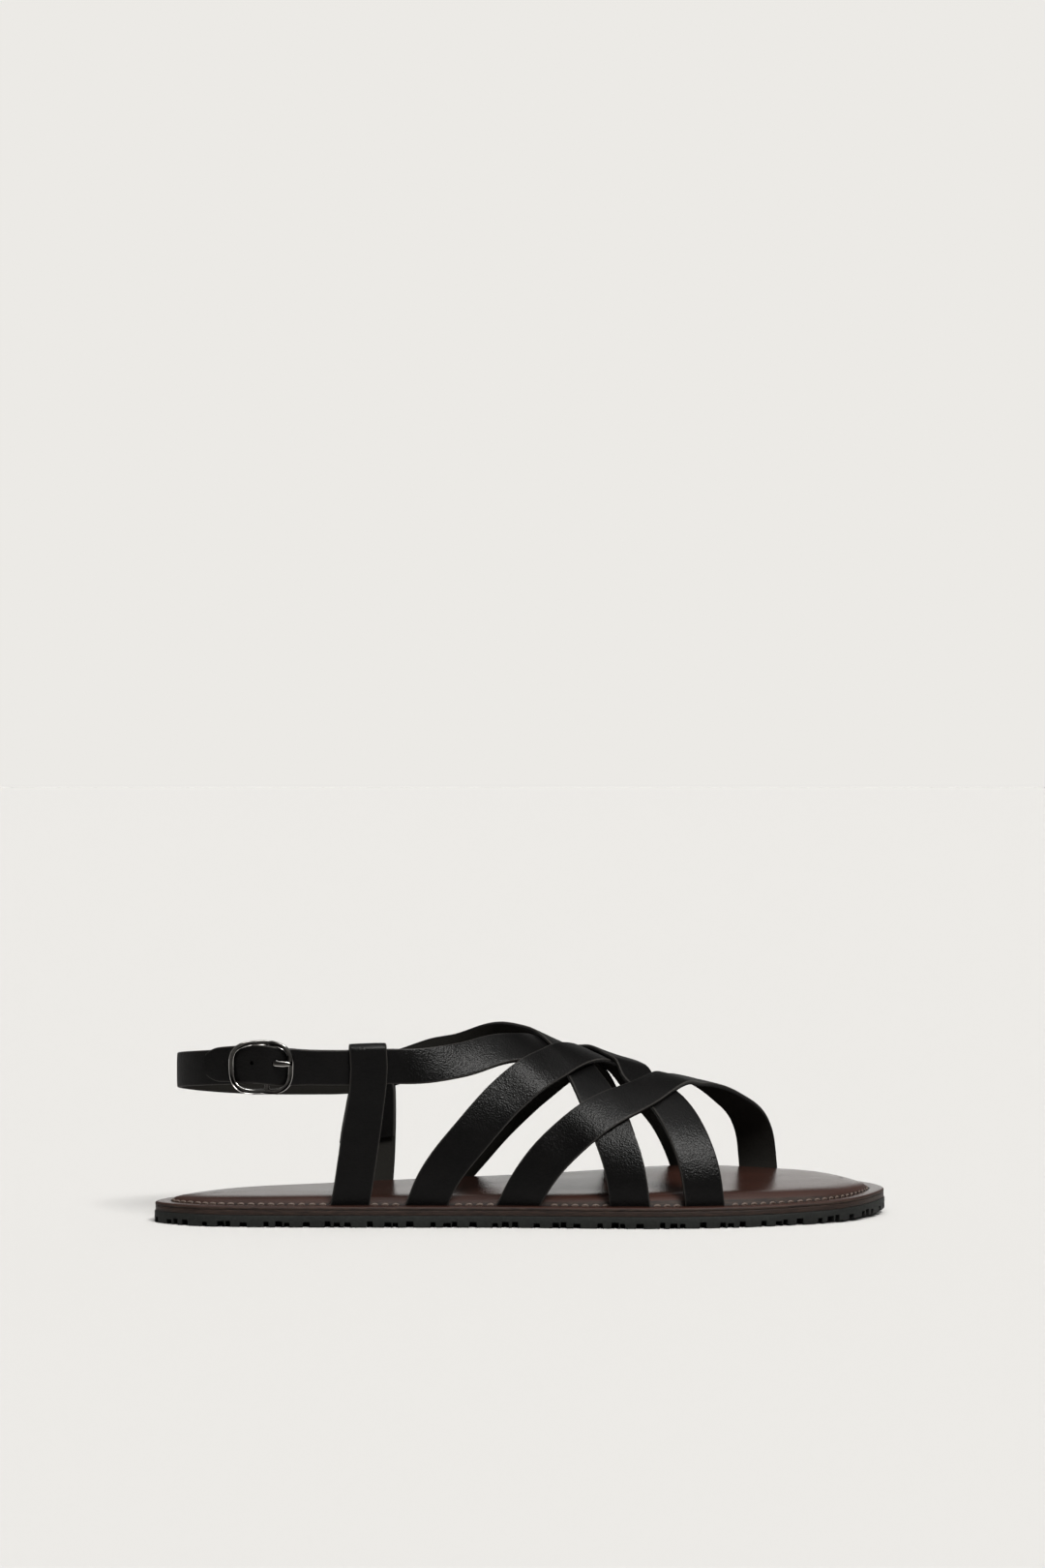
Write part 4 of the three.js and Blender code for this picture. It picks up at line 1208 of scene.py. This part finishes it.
# Dark nickel plate over steel wire: nearly black in the shade, with thin bright lines along the
# corners of its face painted on as highlights.
plate, tree, shader = new_material("dark_nickel_plate")
place = add(tree, "ShaderNodeTexCoord").outputs["Object"]
wear_and_highlight = noise(tree, place, 320, 4)
plated = two_tones(tree, wear_and_highlight, "#2b2a29", "#444240", 0.35, 0.75)
plate_look = {
    # Painted highlight: the marked corners are coloured pale.
    "Base Color": mix(tree, mark_of(tree, "wear_and_highlight"), plated, linear("#c8c6c3")),
    "Metallic": 1.0,
    "Roughness": spread(tree, wear_and_highlight, 0.08, 0.2),
}
fill(tree, shader, plate_look)
for metal in (ring, prong):
    cover(metal, plate)

# The sleeve that the heel band makes round the bar, with a gap at the prong's eye.
sleeve_parts = []
half = ANKLE_WIDTH / 2
for start, end in ((-half, HOLE_RISE - SLEEVE_GAP), (HOLE_RISE + SLEEVE_GAP, half)):
    near_end = [(start, SLEEVE_IN), (start, SLEEVE_ROUND), (start + 0.3, SLEEVE_OUT)]
    far_end = [(end - 0.3, SLEEVE_OUT), (end, SLEEVE_ROUND), (end, SLEEVE_IN)]
    sleeve_parts.append(round_the_bar("bar_sleeve", near_end + far_end))
bar_sleeve, other_part = sleeve_parts
join_into(bar_sleeve, other_part)
finish_leather(bar_sleeve, "strap_leather", "upper")

# Holes punched through the tail, 9 mm apart, and before them the longer one that the prong fills:
# how far ahead of the bar each is, its radius, and by how much it is longer than round.
HOLES = [(3.6, 1.2, 0.35), (-5.0, 0.8, 0), (-14.0, 0.8, 0)]
PUNCH_LENGTH = 10
for ahead, radius, longer in HOLES:
    axis = ankle_row(bar_goal - ahead)[3:6]
    punch = rod(radius, PUNCH_LENGTH, axis, on_strap(ahead, HOLE_RISE, 4), longer)
    cut_away(strap_pieces["outer_arm"], punch)
for piece in strap_pieces.values():
    finish_leather(piece, "strap_leather", "upper")

# ---- Side loops ----------------------------------------------------------------------------------
# On each side a leather tab comes up out of the insole outside the ankle strap and folds inwards
# over it. Two short stitches sew its end to it just below, so that the ankle strap can slide
# through.

TAB_WIDTH = 15.1
TAB_FOLD_WIDTH = 14.2
TAB_CLEAR = 0.55
TAB_CROWN = 0.1
TAB_CORNER = 0.7


def frame_at(strap, run):
    """A strap's point, normal and side at a length along it."""
    return [
        np.array([np.interp(run, strap["run"], strap[key][:, k]) for k in range(3)])
        for key in ("point", "normal", "side")
    ]


def tab_middle(strap, x, side):
    """Where along a strap a tab's middle is, and which way along its side vector is up."""
    xs, ys, runs = strap["point"][:, 0], strap["point"][:, 1], strap["run"]
    for i in range(1, len(xs)):
        if ys[i] * side > 10 and xs[i] >= x > xs[i - 1]:
            run = np.interp(x, xs[i - 1 : i + 1], runs[i - 1 : i + 1])
            return run, math.copysign(1, frame_at(strap, run)[2][2])


def side_loop(name, strap, foot_x, fold_x, side, node):
    middle_run, upward = tab_middle(strap, fold_x, side)
    column, inset = (1, OUTER_INSET) if side < 0 else (2, INNER_INSET)
    foot_y = side * (read_row(OUTLINE, column, share_of(foot_x)) - inset)
    radius = STRAP_THICK / 2 + TAB_CLEAR
    bend_out, bend_up = STRAP_THICK / 2, ANKLE_WIDTH / 2 - 0.95
    low = -ANKLE_WIDTH / 2
    # Share of the way down to the slot, out from the ankle strap's inner face, up from its middle.
    corners = [
        (1, 0.6, low - 30),
        (0.78, 0.8, low - 14),
        (0.5, 1.1, low - 7),
        (0.2, 1.7, low - 2.6),
        (0, bend_out + radius, low + 0.8),
    ]
    for angle in np.arange(13) / 12 * math.pi:
        out = bend_out + radius * squared(math.cos(angle), TAB_CORNER)
        corners.append((0, out, bend_up + radius * max(math.sin(angle), 0) ** TAB_CORNER))
    inner = bend_out - radius
    corners += [(0, inner, low - 0.2), (0.1, inner, low - 2), (0.39, -1.4, low - 5)]
    fine = smooth_curve(corners, 3)
    rings, slot = [], []
    for i, (down, out, up) in enumerate(fine):
        before, after = fine[max(i - 1, 0)], fine[min(i + 1, len(fine) - 1)]
        length = math.hypot(after[1] - before[1], after[2] - before[2])
        off_out, off_up = (after[2] - before[2]) / length, -(after[1] - before[1]) / length
        blend = min(max((low - 1 - up) / 3, 0), 1)
        width = TAB_FOLD_WIDTH + (TAB_WIDTH - TAB_FOLD_WIDTH) * blend
        aside = 0.4 * side * blend
        for grow, kept in ((0, rings), (SLOT_ROOM, slot)):
            ring_points = []
            for across, thick in section(width, STRAP_THICK, grow, TAB_CROWN):
                over = across + aside
                point, normal, sideways = frame_at(strap, middle_run + upward * over)
                foot = (foot_x - side * over, foot_y + side * thick, INSOLE_BOTTOM - 2)
                spot = point + normal * (out + off_out * thick)
                spot += sideways * upward * (up + off_up * thick)
                ring_points.append(curl(spot + (foot - spot) * down))
            kept.append(ring_points)
    cut_away(insole, skin("slot_cutter", slot[:3]))
    finish_leather(leather_piece(name, rings), "strap_leather", node)


TAB_STITCH_HALF = 1.15
TAB_STITCH_LEVEL = 3.95
TAB_STITCH_DROP = 1.9


def tab_stitches(name, strap, fold_x, side):
    """Two short stitches through the tab, just below the ankle strap."""
    middle_run, upward = tab_middle(strap, fold_x, side)
    places = []
    for across, lean in ((-1.0, 0.5), (1.0, -0.5)):
        stitch = []
        for p in ball_points:
            along = p.z * TAB_STITCH_HALF
            run = middle_run + upward * (across + lean * along + p.x * 0.3)
            spot, normal, sideways = frame_at(strap, run)
            up = -ANKLE_WIDTH / 2 - TAB_STITCH_DROP + along
            off = TAB_STITCH_LEVEL + 0.25 * p.y - 0.2 * p.z**2
            stitch.append(spot + normal * off + sideways * upward * up)
        places.append(stitch)
    stitches = sewn(name, places)
    stitches.data.materials.append(black)
    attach(stitches, "root")


OUTER_FOLD_X = -62
INNER_FOLD_X = -58.5
side_loop("outer_side_tab", straps["outer_arm"], -69.2, OUTER_FOLD_X, -1, "side_loop_outer")
side_loop("inner_side_tab", straps["inner_arm"], -58.7, INNER_FOLD_X, 1, "side_loop_inner")
tab_stitches("outer_tab_stitches", straps["outer_arm"], OUTER_FOLD_X, -1)
tab_stitches("inner_tab_stitches", straps["inner_arm"], INNER_FOLD_X, 1)

# ---- Floor, light and camera ---------------------------------------------------------------------
# The shoe stands on a wide pale floor that runs out to a background of the same tone. It is lit
# from overhead and by the pale sweep behind it, and a softbox high in front, towards the toe, draws
# the lights on the straps.

FLOOR_SIZE = 400
deselect()
bpy.ops.mesh.primitive_plane_add(size=FLOOR_SIZE)
paper = bpy.context.object
paper.name = "pale_floor"
matt, tree, shader = new_material("pale_paper")
fill(tree, shader, {"Base Color": linear("#c0bfbe"), "Roughness": 1.0, "Specular IOR Level": 0.0})
paper.data.materials.append(matt)

BACKGROUND = "#eceae6"
SOFTBOX = (0.272, -0.583, 0.766)
world = bpy.data.worlds.new("studio")
world.use_nodes = True
tree = world.node_tree
ray = add(tree, "ShaderNodeTexCoord").outputs["Generated"]
direction = add(tree, "ShaderNodeSeparateXYZ", {"Vector": ray}).outputs


def glow_over(value, low, high, start, end):
    return spread(tree, value, low, high, start, end, "SMOOTHSTEP")


# The sweep glows behind the shoe, down to the horizon and more towards the toe; over it is a dome,
# bright only straight overhead, and the softbox.
behind = glow_over(direction["Y"], 0.05, 1.0, -0.1, 0.6)
horizon = glow_over(direction["Z"], 1.0, 0.15, 0.14, 0.45)
towards_toe = glow_over(direction["X"], 0.68, 1.0, -0.16, 0.12)
sweep = calc(tree, "MULTIPLY", calc(tree, "MULTIPLY", behind, horizon), towards_toe)
dome = glow_over(direction["Z"], sweep, 1.5, 0.74, 0.95)
facing_box = add(tree, "ShaderNodeVectorMath", {0: ray, 1: SOFTBOX}, operation="DOT_PRODUCT")
box = glow_over(facing_box.outputs["Value"], 0.0, 32.0, 0.972, 0.988)
glow = calc(tree, "ADD", dome, box)


def background(color, strength):
    inputs = {"Color": linear(color), "Strength": strength}
    return add(tree, "ShaderNodeBackground", inputs).outputs["Background"]


looking = add(tree, "ShaderNodeLightPath").outputs["Is Camera Ray"]
shaders = {0: looking, 1: background("#fffefb", glow), 2: background(BACKGROUND, 1.0)}
mixed = add(tree, "ShaderNodeMixShader", shaders)
tree.links.new(mixed.outputs["Shader"], tree.nodes["World Output"].inputs["Surface"])
bpy.context.scene.world = world
bpy.context.scene.view_settings.view_transform = "Standard"

lamp = bpy.data.lights.new("overhead_light", "SUN")
lamp.energy = 0.4
lamp.angle = math.radians(30)
holder = new_piece("overhead_light", lamp)
holder.rotation_euler = (math.radians(12), math.radians(-10), 0)

AZIMUTH = math.radians(-3.5)
DISTANCE = 1.5
CAMERA_HEIGHT = 0.1705
CAMERA_ASIDE = 0.00015
FOCAL_LENGTH = 86.888889
SENSOR_WIDTH = 36
forward = Vector((-math.sin(AZIMUTH), math.cos(AZIMUTH), 0))
right = Vector((math.cos(AZIMUTH), math.sin(AZIMUTH), 0))
lens = bpy.data.cameras.new("studio_camera")
lens.lens = FOCAL_LENGTH
lens.sensor_width = SENSOR_WIDTH
camera = new_piece("studio_camera", lens)
camera.location = -DISTANCE * forward + right * CAMERA_ASIDE + Vector((0, 0, CAMERA_HEIGHT))
camera.rotation_euler = (math.radians(90), 0, AZIMUTH)
bpy.context.scene.camera = camera
